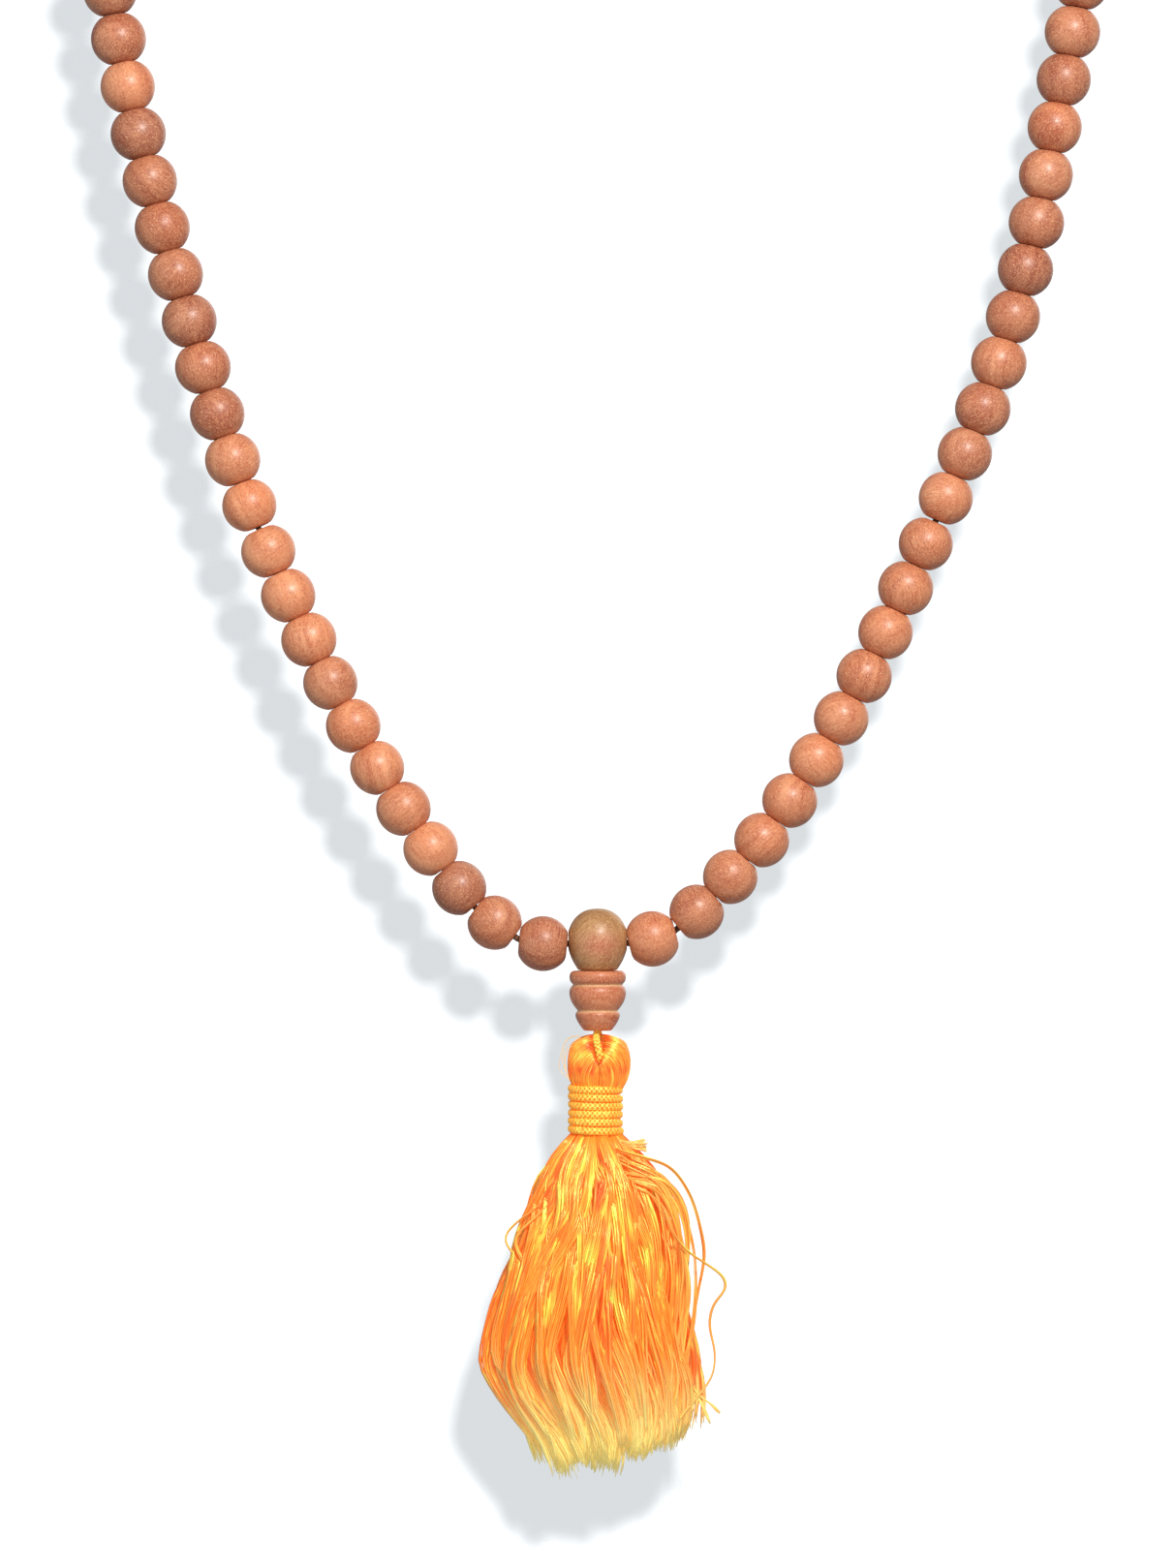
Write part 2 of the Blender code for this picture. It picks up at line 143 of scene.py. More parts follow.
def stage_plane(name, size, at, turn, glow):
    """A pale square of the stage, which neither shades nor colours the mala."""
    half = size / 2
    mesh = bpy.data.meshes.new(name)
    mesh.from_pydata([(-half, -half, 0), (half, -half, 0), (half, half, 0), (-half, half, 0)], [],
                     [(0, 1, 2, 3)])
    pale = bpy.data.materials.new(f"pale_{name}")
    pale.use_nodes = True
    shader = pale.node_tree.nodes["Principled BSDF"]
    shader.inputs["Base Color"].default_value = (0.9, 0.9, 0.9, 1)
    shader.inputs["Roughness"].default_value = 0.8
    shader.inputs["Specular IOR Level"].default_value = 0.0
    shader.inputs["Emission Color"].default_value = (0.93, 0.97, 1.0, 1)
    shader.inputs["Emission Strength"].default_value = glow
    mesh.materials.append(pale)
    plane = bpy.data.objects.new(name, mesh)
    plane.location = at
    plane.rotation_euler = turn
    plane.visible_diffuse = plane.visible_glossy = plane.visible_shadow = False
    bpy.context.scene.collection.objects.link(plane)
    return plane


def make_wall():
    """A white wall behind, which takes the mala's soft shadow and has a front side only."""
    place = VIEW_CENTRE + Vector((0, WALL_GAP, 0))
    wall = stage_plane("wall", WALL_SIZE, place, (math.pi / 2, 0, 0), WALL_GLOW)
    tree = wall.data.materials[0].node_tree
    nodes = tree.nodes
    side = nodes.new("ShaderNodeNewGeometry")
    clear = nodes.new("ShaderNodeBsdfTransparent")
    either(tree, side.outputs["Backfacing"], nodes["Principled BSDF"], clear, nodes["Material Output"])
    return wall


make_camera()
stage_plane("floor", FLOOR_SIZE, GURU - Vector((0, 0, FLOOR_DROP)), (0, 0, 0), FLOOR_GLOW)
make_lights(make_wall())


# ---- mesh and material helpers


def set_attributes(mesh, attributes):
    """Puts float or vector attributes on a mesh's points."""
    for key, values in attributes:
        values = np.asarray(values, np.float32)
        vector = values.ndim == 2
        made = mesh.attributes.new(key, "FLOAT_VECTOR" if vector else "FLOAT", "POINT")
        made.data.foreach_set("vector" if vector else "value", values.ravel())


def mesh_object(name, vertices, faces, smooth=True, attributes=()):
    """An object from vertex and face arrays, with attributes on its points."""
    mesh = bpy.data.meshes.new(name)
    mesh.from_pydata(np.asarray(vertices).tolist(), [], faces)
    set_attributes(mesh, attributes)
    mesh.update()
    if smooth:
        mesh.shade_smooth()
    made = bpy.data.objects.new(name, mesh)
    bpy.context.scene.collection.objects.link(made)
    return made


def ring_faces(rings, sides, closed=False, caps=True):
    """Quads between rings of vertices, with the ends capped or joined to each other."""
    faces = []
    for i in range(rings if closed else rings - 1):
        a, b = i * sides, ((i + 1) % rings) * sides
        for j in range(sides):
            k = (j + 1) % sides
            faces.append((a + j, a + k, b + k, b + j))
    if caps and not closed:
        faces.append(tuple(range(sides - 1, -1, -1)))
        last = (rings - 1) * sides
        faces.append(tuple(range(last, last + sides)))
    return faces


def spline(knots, steps, level_ends=False):
    """Points of a smooth curve through the knots; level_ends keeps its ends from running on."""
    knots = [np.array(list(knot), float) for knot in knots]
    before, after = knots[0] * 2 - knots[1], knots[-1] * 2 - knots[-2]
    if level_ends:
        before, after = knots[0], knots[-1]
    ends = [before, *knots, after]
    line = []
    for a, b, c, d in zip(ends, ends[1:], ends[2:], ends[3:]):
        for t in np.arange(steps) / steps:
            line.append((b * 2 + (c - a) * t + (a * 2 - b * 5 + c * 4 - d) * t * t
                         + (b * 3 - a - c * 3 + d) * t ** 3) / 2)
    return line + [knots[-1]]


def columns(*values):
    """Numbers or arrays side by side, as the columns of one array."""
    return np.stack(np.broadcast_arrays(*values), axis=1)


def running_lengths(line):
    """The distance along a line to each of its points."""
    return np.concatenate([[0], np.cumsum(np.linalg.norm(np.diff(line, axis=0), axis=1))])


def hill(values, middle, half):
    """1 at the middle, and falling off smoothly to either side."""
    return np.exp(-((values - middle) / half) ** 2)


def wave(rng, places, slowest, fastest):
    """A sine of random pace and phase along some places."""
    return np.sin(places * rng.uniform(slowest, fastest) + rng.uniform(0, 6))


class Graph:
    """A material's node tree, with short calls for the nodes used here."""

    def __init__(self, name):
        self.material = bpy.data.materials.new(name)
        self.material.use_nodes = True
        self.tree = self.material.node_tree
        self.shader = self.tree.nodes["Principled BSDF"]

    def node(self, kind, links=(), **settings):
        made = self.tree.nodes.new(kind)
        for key, value in settings.items():
            setattr(made, key, value)
        for socket, source in links:
            self.join(source, made.inputs[socket])
        return made

    def join(self, source, socket):
        if isinstance(source, bpy.types.NodeSocket):
            self.tree.links.new(source, socket)
        else:
            socket.default_value = source

    def attribute(self, key, output="Fac"):
        return self.node("ShaderNodeAttribute", attribute_name=key).outputs[output]

    def noise(self, vector, scale, detail, roughness):
        scaled = self.node("ShaderNodeMapping", (("Vector", vector), ("Scale", scale))).outputs["Vector"]
        links = (("Vector", scaled), ("Scale", 1.0), ("Detail", detail), ("Roughness", roughness))
        return self.node("ShaderNodeTexNoise", links).outputs["Fac"]

    def span(self, value, low, high, to_low=0.0, to_high=1.0):
        links = (("Value", value), ("From Min", low), ("From Max", high), ("To Min", to_low),
                 ("To Max", to_high))
        return self.node("ShaderNodeMapRange", links).outputs["Result"]

    def maths(self, operation, a, b):
        return self.node("ShaderNodeMath", ((0, a), (1, b)), operation=operation).outputs["Value"]

    def times(self, a, b):
        return self.maths("MULTIPLY", a, b)

    def mix(self, amount, a, b, blend="MIX"):
        made = self.node("ShaderNodeMix", data_type="RGBA", blend_type=blend)
        self.join(amount, made.inputs["Factor"])
        self.join(a, made.inputs[6])
        self.join(b, made.inputs[7])
        return made.outputs[2]

    def tint(self, base, by):
        return self.mix(1.0, base, by, "MULTIPLY")

    def bump(self, height, strength, distance):
        links = (("Height", height), ("Strength", strength), ("Distance", distance))
        self.join(self.node("ShaderNodeBump", links).outputs["Normal"], self.shader.inputs["Normal"])

    def set(self, values):
        for socket, value in values.items():
            self.join(value, self.shader.inputs[socket])


def colour(r, g, b):
    """An opaque colour from linear components."""
    return (r, g, b, 1.0)


# ---- the string's route above the free beads, in millimetres from the guru bead

LEFT_ROUTE = [(-63.3, 103.3), (-66.8, 117.0), (-69.6, 130.4), (-72.4, 148), (-74.9, 173), (-76, 206),
              (-76, 241)]
RIGHT_ROUTE = [(63.8, 104.0), (66.4, 117.6), (68.9, 131.0), (71.8, 148), (74.7, 173), (76, 206),
               (76, 241)]
FREE_BEADS = 23
LOWER_BEADS = 11
UPPER_BEADS = 14
ARCH_BEADS = 17
FOLD_PITCH = 7.25 * MM
ROUTE_STEPS = 24
ARCH_STEPS = 180


def route(knots):
    """A smooth dense line through the knots and over the arch, with its lengths."""
    line = spline([(x * MM, 0, z * MM) for x, z in knots], ROUTE_STEPS)[:-1]
    spring_x, spring_z = knots[-1][0] * MM, knots[-1][1] * MM
    for turn in np.linspace(0, math.pi / 2, ARCH_STEPS + 1):
        line.append((spring_x * math.cos(turn), 0, spring_z + abs(spring_x) * math.sin(turn)))
    line = np.array(line) + np.array(GURU)
    return line, running_lengths(line)


class Side:
    """One side of the loop, with the place and direction of each of its beads."""

    def __init__(self, name, knots):
        self.name = name
        self.line, self.lengths = route(knots)
        self.beads = []
        for number in range(1, FREE_BEADS + 1):
            joint = JOINTS[f"spin_{name}_{number:02d}"]
            self.beads.append((Vector(joint["pos_m"]), Vector(joint["axis"])))
        last = np.argmin(np.linalg.norm(self.line - np.array(self.beads[-1][0]), axis=1))
        start = self.lengths[last] + FOLD_PITCH
        held = UPPER_BEADS + ARCH_BEADS
        pitch = (self.lengths[-1] - start) / (held - 0.5)
        for number in range(held):
            s = start + pitch * number
            self.beads.append((self.at(s), (self.at(s + 3 * MM) - self.at(s - 3 * MM)).normalized()))

    def at(self, s):
        """The point at a distance along the string."""
        return Vector([np.interp(s, self.lengths, self.line[:, i]) for i in range(3)])

    def body(self, number):
        """The body that carries a bead, counted from the guru bead."""
        if number <= FREE_BEADS:
            return f"bead_{self.name}_{number:02d}"
        return "upper_strands" if number <= FREE_BEADS + UPPER_BEADS else "arch"


LEFT = Side("left", LEFT_ROUTE)
RIGHT = Side("right", RIGHT_ROUTE)


# ---- wood


def wood_material(name, dark, light, pale, rough_key=""):
    """Waxed hardwood cut from a plank: growth bands, long fibres, fine pores and pale flecks.

    Its points carry their place in the plank, in millimetres, as the attribute "grain", and may carry
    where the turning tool left it fuzzy, under rough_key.
    """
    g = Graph(name)
    grain = g.attribute("grain", "Vector")
    tone = g.attribute("tone")
    fibres = g.noise(grain, (3.2, 3.2, 0.28), 4.0, 0.62)
    bands = g.noise(grain, (0.75, 0.08, 0.07), 3.0, 0.55)
    patches = g.noise(grain, (0.16, 0.16, 0.1), 2.0, 0.5)
    pores = g.noise(grain, (7.5, 7.5, 1.7), 2.0, 0.5)
    flecks = g.noise(grain, (6.2, 6.2, 3.6), 3.0, 0.6)
    pore_mask = g.span(pores, 0.585, 0.70)
    fleck_mask = g.span(flecks, 0.545, 0.68)
    base = g.mix(tone, dark, light)
    swing = g.maths("ADD", g.span(bands, 0.3, 0.7, -0.5, 0.5), g.span(fibres, 0.3, 0.7, -0.5, 0.5))
    darker = g.tint(base, colour(0.66, 0.50, 0.44))
    lighter = g.mix(0.32, base, pale)
    grained = g.mix(g.span(swing, -0.75, 0.75), darker, lighter)
    patched = g.mix(g.span(patches, 0.35, 0.7, 0.0, 0.35), grained, g.tint(grained, pale))
    flecked = g.mix(g.times(fleck_mask, 0.75), patched, pale)
    hole = g.tint(dark, colour(0.45, 0.4, 0.4))
    pored = g.mix(g.times(pore_mask, 0.55), flecked, hole)
    if rough_key:
        fuzzy = g.times(g.attribute(rough_key), g.span(flecks, 0.35, 0.62, 0.35, 1.0))
        pored = g.mix(fuzzy, pored, colour(0.74, 0.46, 0.24))
    g.set({"Base Color": pored, "Roughness": g.span(fibres, 0.3, 0.7, 0.36, 0.48),
           "Specular IOR Level": 0.42, "Coat Weight": 0.12, "Coat Roughness": 0.3})
    height = g.maths("SUBTRACT", g.times(fibres, 0.5), pore_mask)
    g.bump(height, 0.35, 0.00004)
    return g.material


BEAD_WOOD = wood_material("bead_wood", colour(0.31, 0.062, 0.034), colour(0.80, 0.29, 0.135),
                          colour(0.90, 0.50, 0.27))

BEAD_RADIUS = 4.0 * MM
BEAD_HALF = 3.51 * MM
# A bead on either side of a fold is a little shorter, so that its flat clears its neighbour's
FOLD_LENGTHS = {LOWER_BEADS: 0.976, FREE_BEADS: 0.976, FREE_BEADS + UPPER_BEADS: 0.965}
HOLE_RADIUS = 0.72 * MM
BEAD_SIDES = 44
TONES = {"wood_dark": 0.10, "wood_red": 0.30, "wood_middle": 0.52, "wood_orange": 0.70,
         "wood_light": 0.92}


def bead_outline():
    """(radius, height) points round half a bead's section, from the top of its hole to the bottom."""
    power, reach = 2.03, 3.95 * MM
    points = [(HOLE_RADIUS, BEAD_HALF - 0.35 * MM), (HOLE_RADIUS + 0.02 * MM, BEAD_HALF - 0.12 * MM),
              (HOLE_RADIUS + 0.14 * MM, BEAD_HALF - 0.02 * MM), (1.35 * MM, BEAD_HALF)]
    rim = 1.62 * MM
    for step in range(4):
        turn = step / 3 * 0.7
        points.append((rim + 0.22 * MM * math.sin(turn), BEAD_HALF - 0.22 * MM * (1 - math.cos(turn))))
    count = 26
    for step in range(count + 1):
        z = math.cos(math.pi * (0.174 + 0.652 * step / count)) * reach
        points.append((BEAD_RADIUS * (1 - abs(z / reach) ** power) ** (1 / power), z))
    points += [(r, -z) for r, z in reversed(points[:8])]
    return points


def lathe(outline, sides):
    """Ring vertices of a closed section turned about Z."""
    angles = np.arange(sides) * 2 * math.pi / sides
    rings = [[(r * math.cos(a), r * math.sin(a), z) for a in angles] for r, z in outline]
    return np.array(rings).reshape(-1, 3)


def plank_places(points, rng, stretch=1.0):
    """Where a piece's points lay in the plank that it was turned from, in millimetres."""
    turn = Matrix.Rotation(rng.uniform(0, math.tau), 3, "X") @ Matrix.Rotation(rng.uniform(-0.5, 0.5), 3, "Y")
    if rng.random() < 0.45:
        turn = Matrix.Rotation(math.pi / 2, 3, "X") @ turn
    shift = np.array([rng.uniform(-400, 400) for _ in range(3)])
    return (points / MM * stretch) @ np.array(turn).T + shift


BEAD_OUTLINE = bead_outline()
BEAD_POINTS = lathe(BEAD_OUTLINE, BEAD_SIDES)
BEAD_FACES = ring_faces(len(BEAD_OUTLINE), BEAD_SIDES, closed=True)


def make_bead(name, at, along, tone, rng, length=1.0):
    """One turned bead, a touch out of round, with its hole along the string."""
    fat = rng.uniform(0.985, 1.012)
    points = BEAD_POINTS * (1, 1, length)
    angle = np.arctan2(points[:, 1], points[:, 0])
    height = points[:, 2] / BEAD_HALF
    lump = 1 + 0.006 * np.cos(2 * angle + rng.uniform(0, 6)) + 0.010 * rng.uniform(-1, 1) * height
    outer = np.hypot(points[:, 0], points[:, 1]) > 1.7 * MM
    scale = np.where(outer, fat * lump, 1.0)
    points[:, :2] *= scale[:, None]
    made = mesh_object(name, points, BEAD_FACES, attributes=[
        ("grain", plank_places(points, rng)),
        ("tone", np.full(len(points), min(1.0, max(0.0, tone)))),
    ])
    made.data.materials.append(BEAD_WOOD)
    spin = Matrix.Rotation(rng.uniform(0, math.tau), 4, "Z")
    made.matrix_world = Matrix.Translation(at) @ along.to_track_quat("Z", "Y").to_matrix().to_4x4() @ spin
    return made


def make_beads():
    """All 108 beads: the free ones each on a body of its own, the others on their strand."""
    rng = random.Random(11)
    joined = set()
    for side in (LEFT, RIGHT):
        for number, (at, along) in enumerate(side.beads, 1):
            name = f"bead_{side.name}_{number:02d}"
            if number <= FREE_BEADS:
                node = name
                tone = TONES[SLOTS[node]] + rng.uniform(-0.06, 0.06)
            else:
                node = "arch_beads" if number > FREE_BEADS + UPPER_BEADS else f"upper_beads_{side.name}"
                tone = rng.choice(list(TONES.values())) + rng.uniform(-0.08, 0.08)
            length = FOLD_LENGTHS.get(number, FOLD_LENGTHS.get(number - 1, 1.0))
            bead = make_bead(f"turned_{name}", at, along, tone, rng, length)
            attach(bead, side.body(number))
            if node not in joined:
                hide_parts(node)
                joined.add(node)


make_beads()


# ---- guru bead and tower bead


STRING_BORE = 1.2 * MM
CORD_BORE = 1.45 * MM
TURNED_SIDES = 72


def bored(name, points, faces, cutters):
    """A closed mesh with round holes taken out of it: each is (radius, bottom, top, turn about Y)."""
    solid = mesh_object(name, points, faces, smooth=False)
    for radius, bottom, top, turn in cutters:
        outline = [(radius, top), (radius, bottom)]
        cutter = mesh_object("hole", lathe(outline, 28), ring_faces(2, 28)[::-1])
        cutter.data.flip_normals()
        cutter.rotation_euler = (0, turn, 0)
        take = solid.modifiers.new("hole", "BOOLEAN")
        take.object = cutter
    bpy.context.view_layer.update()
    mesh = bpy.data.meshes.new_from_object(solid.evaluated_get(bpy.context.evaluated_depsgraph_get()))
    for take in solid.modifiers:
        bpy.data.objects.remove(take.object)
    bpy.data.objects.remove(solid)
    return mesh


def smooth_outline(knots, steps):
    """(radius, height) points on a smooth curve through the knots, in metres."""
    return [(max(r, 0.0) * MM, z * MM) for r, z in spline(knots, steps, level_ends=True)]


def make_guru():
    """The guru bead: a fat round bead with a flat foot, bored across and from below."""
    knots = [(0.02, 4.6), (1.2, 4.48), (2.4, 4.0), (3.5, 2.95), (4.2, 1.5), (4.42, 0), (4.2, -1.5),
             (3.7, -2.9), (3.15, -3.85), (2.95, -4.15), (2.6, -4.35), (1.2, -4.38), (0.02, -4.38)]
    outline = smooth_outline(knots, 5)
    mesh = bored("guru", lathe(outline, TURNED_SIDES), ring_faces(len(outline), TURNED_SIDES),
                 [(STRING_BORE, -9 * MM, 9 * MM, math.pi / 2), (CORD_BORE, -9 * MM, 0.0, 0.0)])
    guru = bpy.data.objects.new("turned_guru_bead", mesh)
    bpy.context.scene.collection.objects.link(guru)
    points = np.array([v.co for v in mesh.vertices])
    x, y, z = (points / MM).T
    red = hill(x, 0.3, 3.0) * hill(z, -0.8, 2.1)
    grain = plank_places(points[:, [1, 2, 0]], random.Random(5), 1.15)
    set_attributes(mesh, (("grain", grain), ("tone", 1 - red)))
    mesh.shade_smooth()
    mesh.set_sharp_from_angle(angle=math.radians(38))
    mesh.materials.clear()
    mesh.materials.append(GURU_WOOD)
    guru.location = GURU
    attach(guru, "guru")
    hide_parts("guru_bead")


def make_tower():
    """The tower bead: a disc, a bowl and a small cup in one turning, with rough pale grooves."""
    knots = [(1.5, -4.43), (3.3, -4.44), (3.78, -4.58), (4.05, -4.95), (4.1, -5.45), (4.0, -5.95),
             (3.72, -6.3), (3.6, -6.48), (3.68, -6.62), (3.95, -6.95), (4.1, -7.5), (4.05, -8.2),
             (3.78, -9.0), (3.3, -9.75), (2.98, -10.15), (2.92, -10.32), (3.1, -10.5), (3.22, -10.85),
             (3.12, -11.4), (2.7, -12.2), (2.15, -12.95), (1.95, -13.12), (1.75, -13.15)]
    outline = smooth_outline(knots, 4)
    bore = [(CORD_BORE, -12.9 * MM), (CORD_BORE, -4.66 * MM)]
    section = outline + bore
    points = lathe(section, TURNED_SIDES)
    radius = np.hypot(points[:, 0], points[:, 1]) / MM
    height = points[:, 2] / MM
    rough = hill(height, -6.5, 0.24) + hill(height, -10.3, 0.24)
    rough = np.where(radius > 2, np.clip(rough, 0, 1), 0)
    faces = ring_faces(len(section), TURNED_SIDES, closed=True)
    tower = mesh_object("turned_tower_bead", points, faces, attributes=[
        ("grain", plank_places(points[:, [2, 0, 1]], random.Random(8))),
        ("tone", 0.62 + 0.1 * np.sin(height * 1.3)),
        ("rough", rough),
    ])
    tower.data.set_sharp_from_angle(angle=math.radians(50))
    tower.data.materials.append(TOWER_WOOD)
    tower.location = GURU
    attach(tower, "tower")
    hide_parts("tower_bead")


GURU_WOOD = wood_material("guru_wood", colour(0.58, 0.135, 0.085), colour(0.42, 0.215, 0.075),
                          colour(0.78, 0.52, 0.25))
TOWER_WOOD = wood_material("tower_wood", colour(0.48, 0.11, 0.045), colour(0.78, 0.24, 0.10),
                           colour(0.86, 0.52, 0.30), rough_key="rough")
make_guru()
make_tower()


# ---- string


def resampled(points, step):
    """Evenly spaced points along a line, with its corners eased."""
    points = np.array([list(p) for p in points])
    lengths = running_lengths(points)
    count = max(3, int(round(lengths[-1] / step)) + 1)
    places = np.linspace(0, lengths[-1], count)
    line = np.stack([np.interp(places, lengths, points[:, i]) for i in range(3)], axis=1)
    for _ in range(3):
        line[1:-1] = (line[:-2] + line[1:-1] * 2 + line[2:]) / 4
    return line


def directions(line):
    """Unit directions along a line."""
    slopes = np.gradient(line, axis=0)
    return slopes / np.linalg.norm(slopes, axis=1)[:, None]


def frames(line, out):
    """Directions along a line, across it, and outwards, with the outward one close to out."""
    along = directions(line)
    across = np.cross(along, out)
    across /= np.maximum(np.linalg.norm(across, axis=1), 1e-9)[:, None]
    return along, across, np.cross(across, along)


STRING_STEP = 0.28 * MM
STRING_LAY = 1.9 * MM
STRING_RADIUS = 0.45 * MM
STRING_SIDES = 9
BORE_REACH = 2.9 * MM


def string_piece(name, points, body, *nodes):
    """A length of three-ply twisted string, about a millimetre thick."""
    line = resampled(points, STRING_STEP)
    along, across, out = frames(line, np.array([[0.0, 1.0, 0.0]]))
    places = np.arange(len(line)) * STRING_STEP
    angles = np.arange(STRING_SIDES) * math.tau / STRING_SIDES
    laid = angles[None, :] - places[:, None] / STRING_LAY * math.tau
    ply = np.cos(3 * laid)
    radius = STRING_RADIUS * (1 + 0.13 * ply)
    points = (line[:, None] + across[:, None] * (radius * np.cos(angles))[..., None]
              + out[:, None] * (radius * np.sin(angles))[..., None]).reshape(-1, 3)
    thread = np.stack([laid / math.tau * 3, np.broadcast_to(places[:, None] / MM, ply.shape), ply], axis=-1)
    piece = mesh_object(name, points, ring_faces(len(line), STRING_SIDES), attributes=[
        ("thread", thread.reshape(-1, 3)),
        ("ply", ply.ravel()),
    ])
    piece.data.materials.append(STRING_FIBRE)
    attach(piece, body)
    if nodes:
        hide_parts(*nodes)


def through(side, low, high):
    """Points of the string through a run of beads: straight in each bore, bent between them."""
    points = []
    for at, along in side.beads[low - 1:high]:
        points += [at - along * BORE_REACH, at + along * BORE_REACH]
    return points


def between(side, number):
    """The middle of the gap above a bead."""
    return (side.beads[number - 1][0] + side.beads[number][0]) / 2


def string_material():
    """Brown twisted cotton, with painted shade darkening the creases between its plies."""
    g = Graph("string_fibre")
    fuzz = g.noise(g.attribute("thread", "Vector"), (6, 5, 2), 3.0, 0.6)
    ply = g.span(g.attribute("ply"), -0.8, 0.6)
    # Painted shade: near black deep in the creases, brown on the plies.
    base = g.mix(ply, colour(0.05, 0.018, 0.010), colour(0.20, 0.085, 0.042))
    g.set({"Base Color": g.mix(g.span(fuzz, 0.3, 0.7), base, colour(0.26, 0.12, 0.06)),
           "Roughness": g.span(fuzz, 0.3, 0.7, 0.75, 0.95), "Specular IOR Level": 0.2})
    g.bump(fuzz, 0.5, 0.00005)
    return g.material


def make_string():
    """The one string of the loop, in a piece for each stretch that the folds divide it into."""
    middle, upper = FREE_BEADS, FREE_BEADS + UPPER_BEADS
    lower, arch = [], []
    for side in (LEFT, RIGHT):
        inside = [GURU + Vector((math.copysign(3.8, side.beads[0][0].x), 0, -0.3)) * MM]
        lower.append(inside + through(side, 1, LOWER_BEADS) + [between(side, LOWER_BEADS)])
        string_piece(f"twisted_string_middle_{side.name}", [between(side, LOWER_BEADS)]
                     + through(side, LOWER_BEADS + 1, middle) + [between(side, middle)],
                     "middle_strands", f"string_{side.name}")
        string_piece(f"twisted_string_upper_{side.name}", [between(side, middle)]
                     + through(side, middle + 1, upper) + [between(side, upper)], "upper_strands")
        arch.append([between(side, upper)] + through(side, upper + 1, upper + ARCH_BEADS))
    string_piece("twisted_string_lower", lower[0][::-1] + lower[1], "lower_loop", "string_lower")
    string_piece("twisted_string_arch", arch[0] + arch[1][::-1], "arch")


STRING_FIBRE = string_material()
make_string()


# ---- silk


class Threads:
    """Many thin closed strands gathered into one mesh, with each point's place in its strand."""

    def __init__(self, name):
        self.name = name
        self.points, self.faces, self.thread, self.values = [], [], [], []
        self.count = 0

    def add(self, line, out, widths, thicknesses, shade, tip, glint=0.0, twist=0.0, section=4):
        """One strand of flat oval section along a line; out is the way that its flat side faces."""
        def spread(value):
            return np.broadcast_to(np.asarray(value, float), (len(line),))

        along, across, out = frames(line, out)
        twist = spread(twist)[:, None]
        side_way = across * np.cos(twist) + out * np.sin(twist)
        flat_way = out * np.cos(twist) - across * np.sin(twist)
        angles = np.arange(section) * math.tau / section
        w = spread(widths)[:, None] / 2 * np.cos(angles)
        h = spread(thicknesses)[:, None] / 2 * np.sin(angles)
        points = line[:, None] + side_way[:, None] * w[..., None] + flat_way[:, None] * h[..., None]
        lengths = running_lengths(line)
        seed = (len(self.points) * 7.31) % 97
        thread = np.empty(points.shape)
        thread[..., 0] = w / MM + seed
        thread[..., 1] = (lengths / MM)[:, None]
        thread[..., 2] = seed * 3.7
        self.faces += (np.array(ring_faces(len(line), section, caps=False)) + self.count).tolist()
        last = self.count + (len(line) - 1) * section
        self.faces.append(list(range(self.count + section - 1, self.count - 1, -1)))
        self.faces.append(list(range(last, last + section)))
        self.points.append(points.reshape(-1, 3))
        self.thread.append(thread.reshape(-1, 3))
        # shade carries painted shade along with random tone, and glint carries painted highlights.
        values = np.stack([spread(value) for value in (shade, tip, glint)])
        self.values.append(np.repeat(values, section, axis=1))
        self.count += len(line) * section

    def finish(self, material):
        """The gathered strands as one object."""
        shade, tip, glint = np.concatenate(self.values, axis=1)
        made = mesh_object(self.name, np.concatenate(self.points), self.faces, attributes=[
            ("thread", np.concatenate(self.thread)), ("shade", shade), ("tip", tip), ("glint", glint),
        ])
        made.data.materials.append(material)
        return made


def silk_material(name, deep, body, pale, glint, tips, fineness):
    """Glossy silk floss: fine fibres along each strand and pale cut tips, with painted shade as deep colour
    in the folds and hollows, painted highlights and a painted glow.
    """
    g = Graph(name)
    thread = g.attribute("thread", "Vector")
    shade = g.attribute("shade")
    tip = g.attribute("tip")
    caught = g.attribute("glint")
    fibres = g.noise(thread, (fineness, 0.10, 1.0), 3.0, 0.65)
    runs = g.noise(thread, (fineness / 9, 0.16, 0.31), 2.0, 0.5)
    # Painted shade: the shade attribute runs from the deep colour at 0 to the body colour at 1, and below 0
    # it darkens the colour further in the painted hollows.
    painted_hollow_shade = g.mix(g.span(shade, -1.0, 0.0), colour(0.55, 0.22, 0.25), colour(1, 1, 1))
    base = g.tint(g.mix(shade, deep, body), painted_hollow_shade)
    # Painted light: pale fibres show only where the painted shade is light.
    fine = g.times(g.span(fibres, 0.35, 0.72, 0.0, 0.6), g.span(shade, -0.2, 0.6))
    lit = g.mix(fine, base, pale)
    # Painted highlight: streaks of the glint colour along the strands.
    glint_streaked = g.mix(g.span(runs, 0.57, 0.70, 0.0, 0.7), lit, glint)
    # Painted highlight: the glint attribute lays the glint colour on chosen spots.
    caught = g.times(caught, g.span(fibres, 0.36, 0.54, 0.25, 1.0))
    glinting = g.mix(caught, glint_streaked, glint)
    darker = g.mix(g.span(fibres, 0.24, 0.42, 0.5, 0.0), glinting, deep)
    g.set({"Base Color": g.mix(g.times(tip, 0.95), darker, tips),
           "Roughness": g.span(fibres, 0.3, 0.7, 0.22, 0.36), "Metallic": 0.12,
           "Specular IOR Level": 1.0, "Specular Tint": colour(1.0, 1.0, 0.5),
           "Sheen Weight": 0.2, "Sheen Roughness": 0.35, "Sheen Tint": colour(1.0, 0.8, 0.3),
           # Painted glow: the emission stands in for light shining through the silk, paler towards the tips.
           "Emission Color": g.mix(tip, colour(1.0, 0.27, 0.03), colour(1.0, 0.85, 0.35)),
           "Emission Strength": 0.22})
    g.bump(fibres, 0.3, 0.00003)
    return g.material


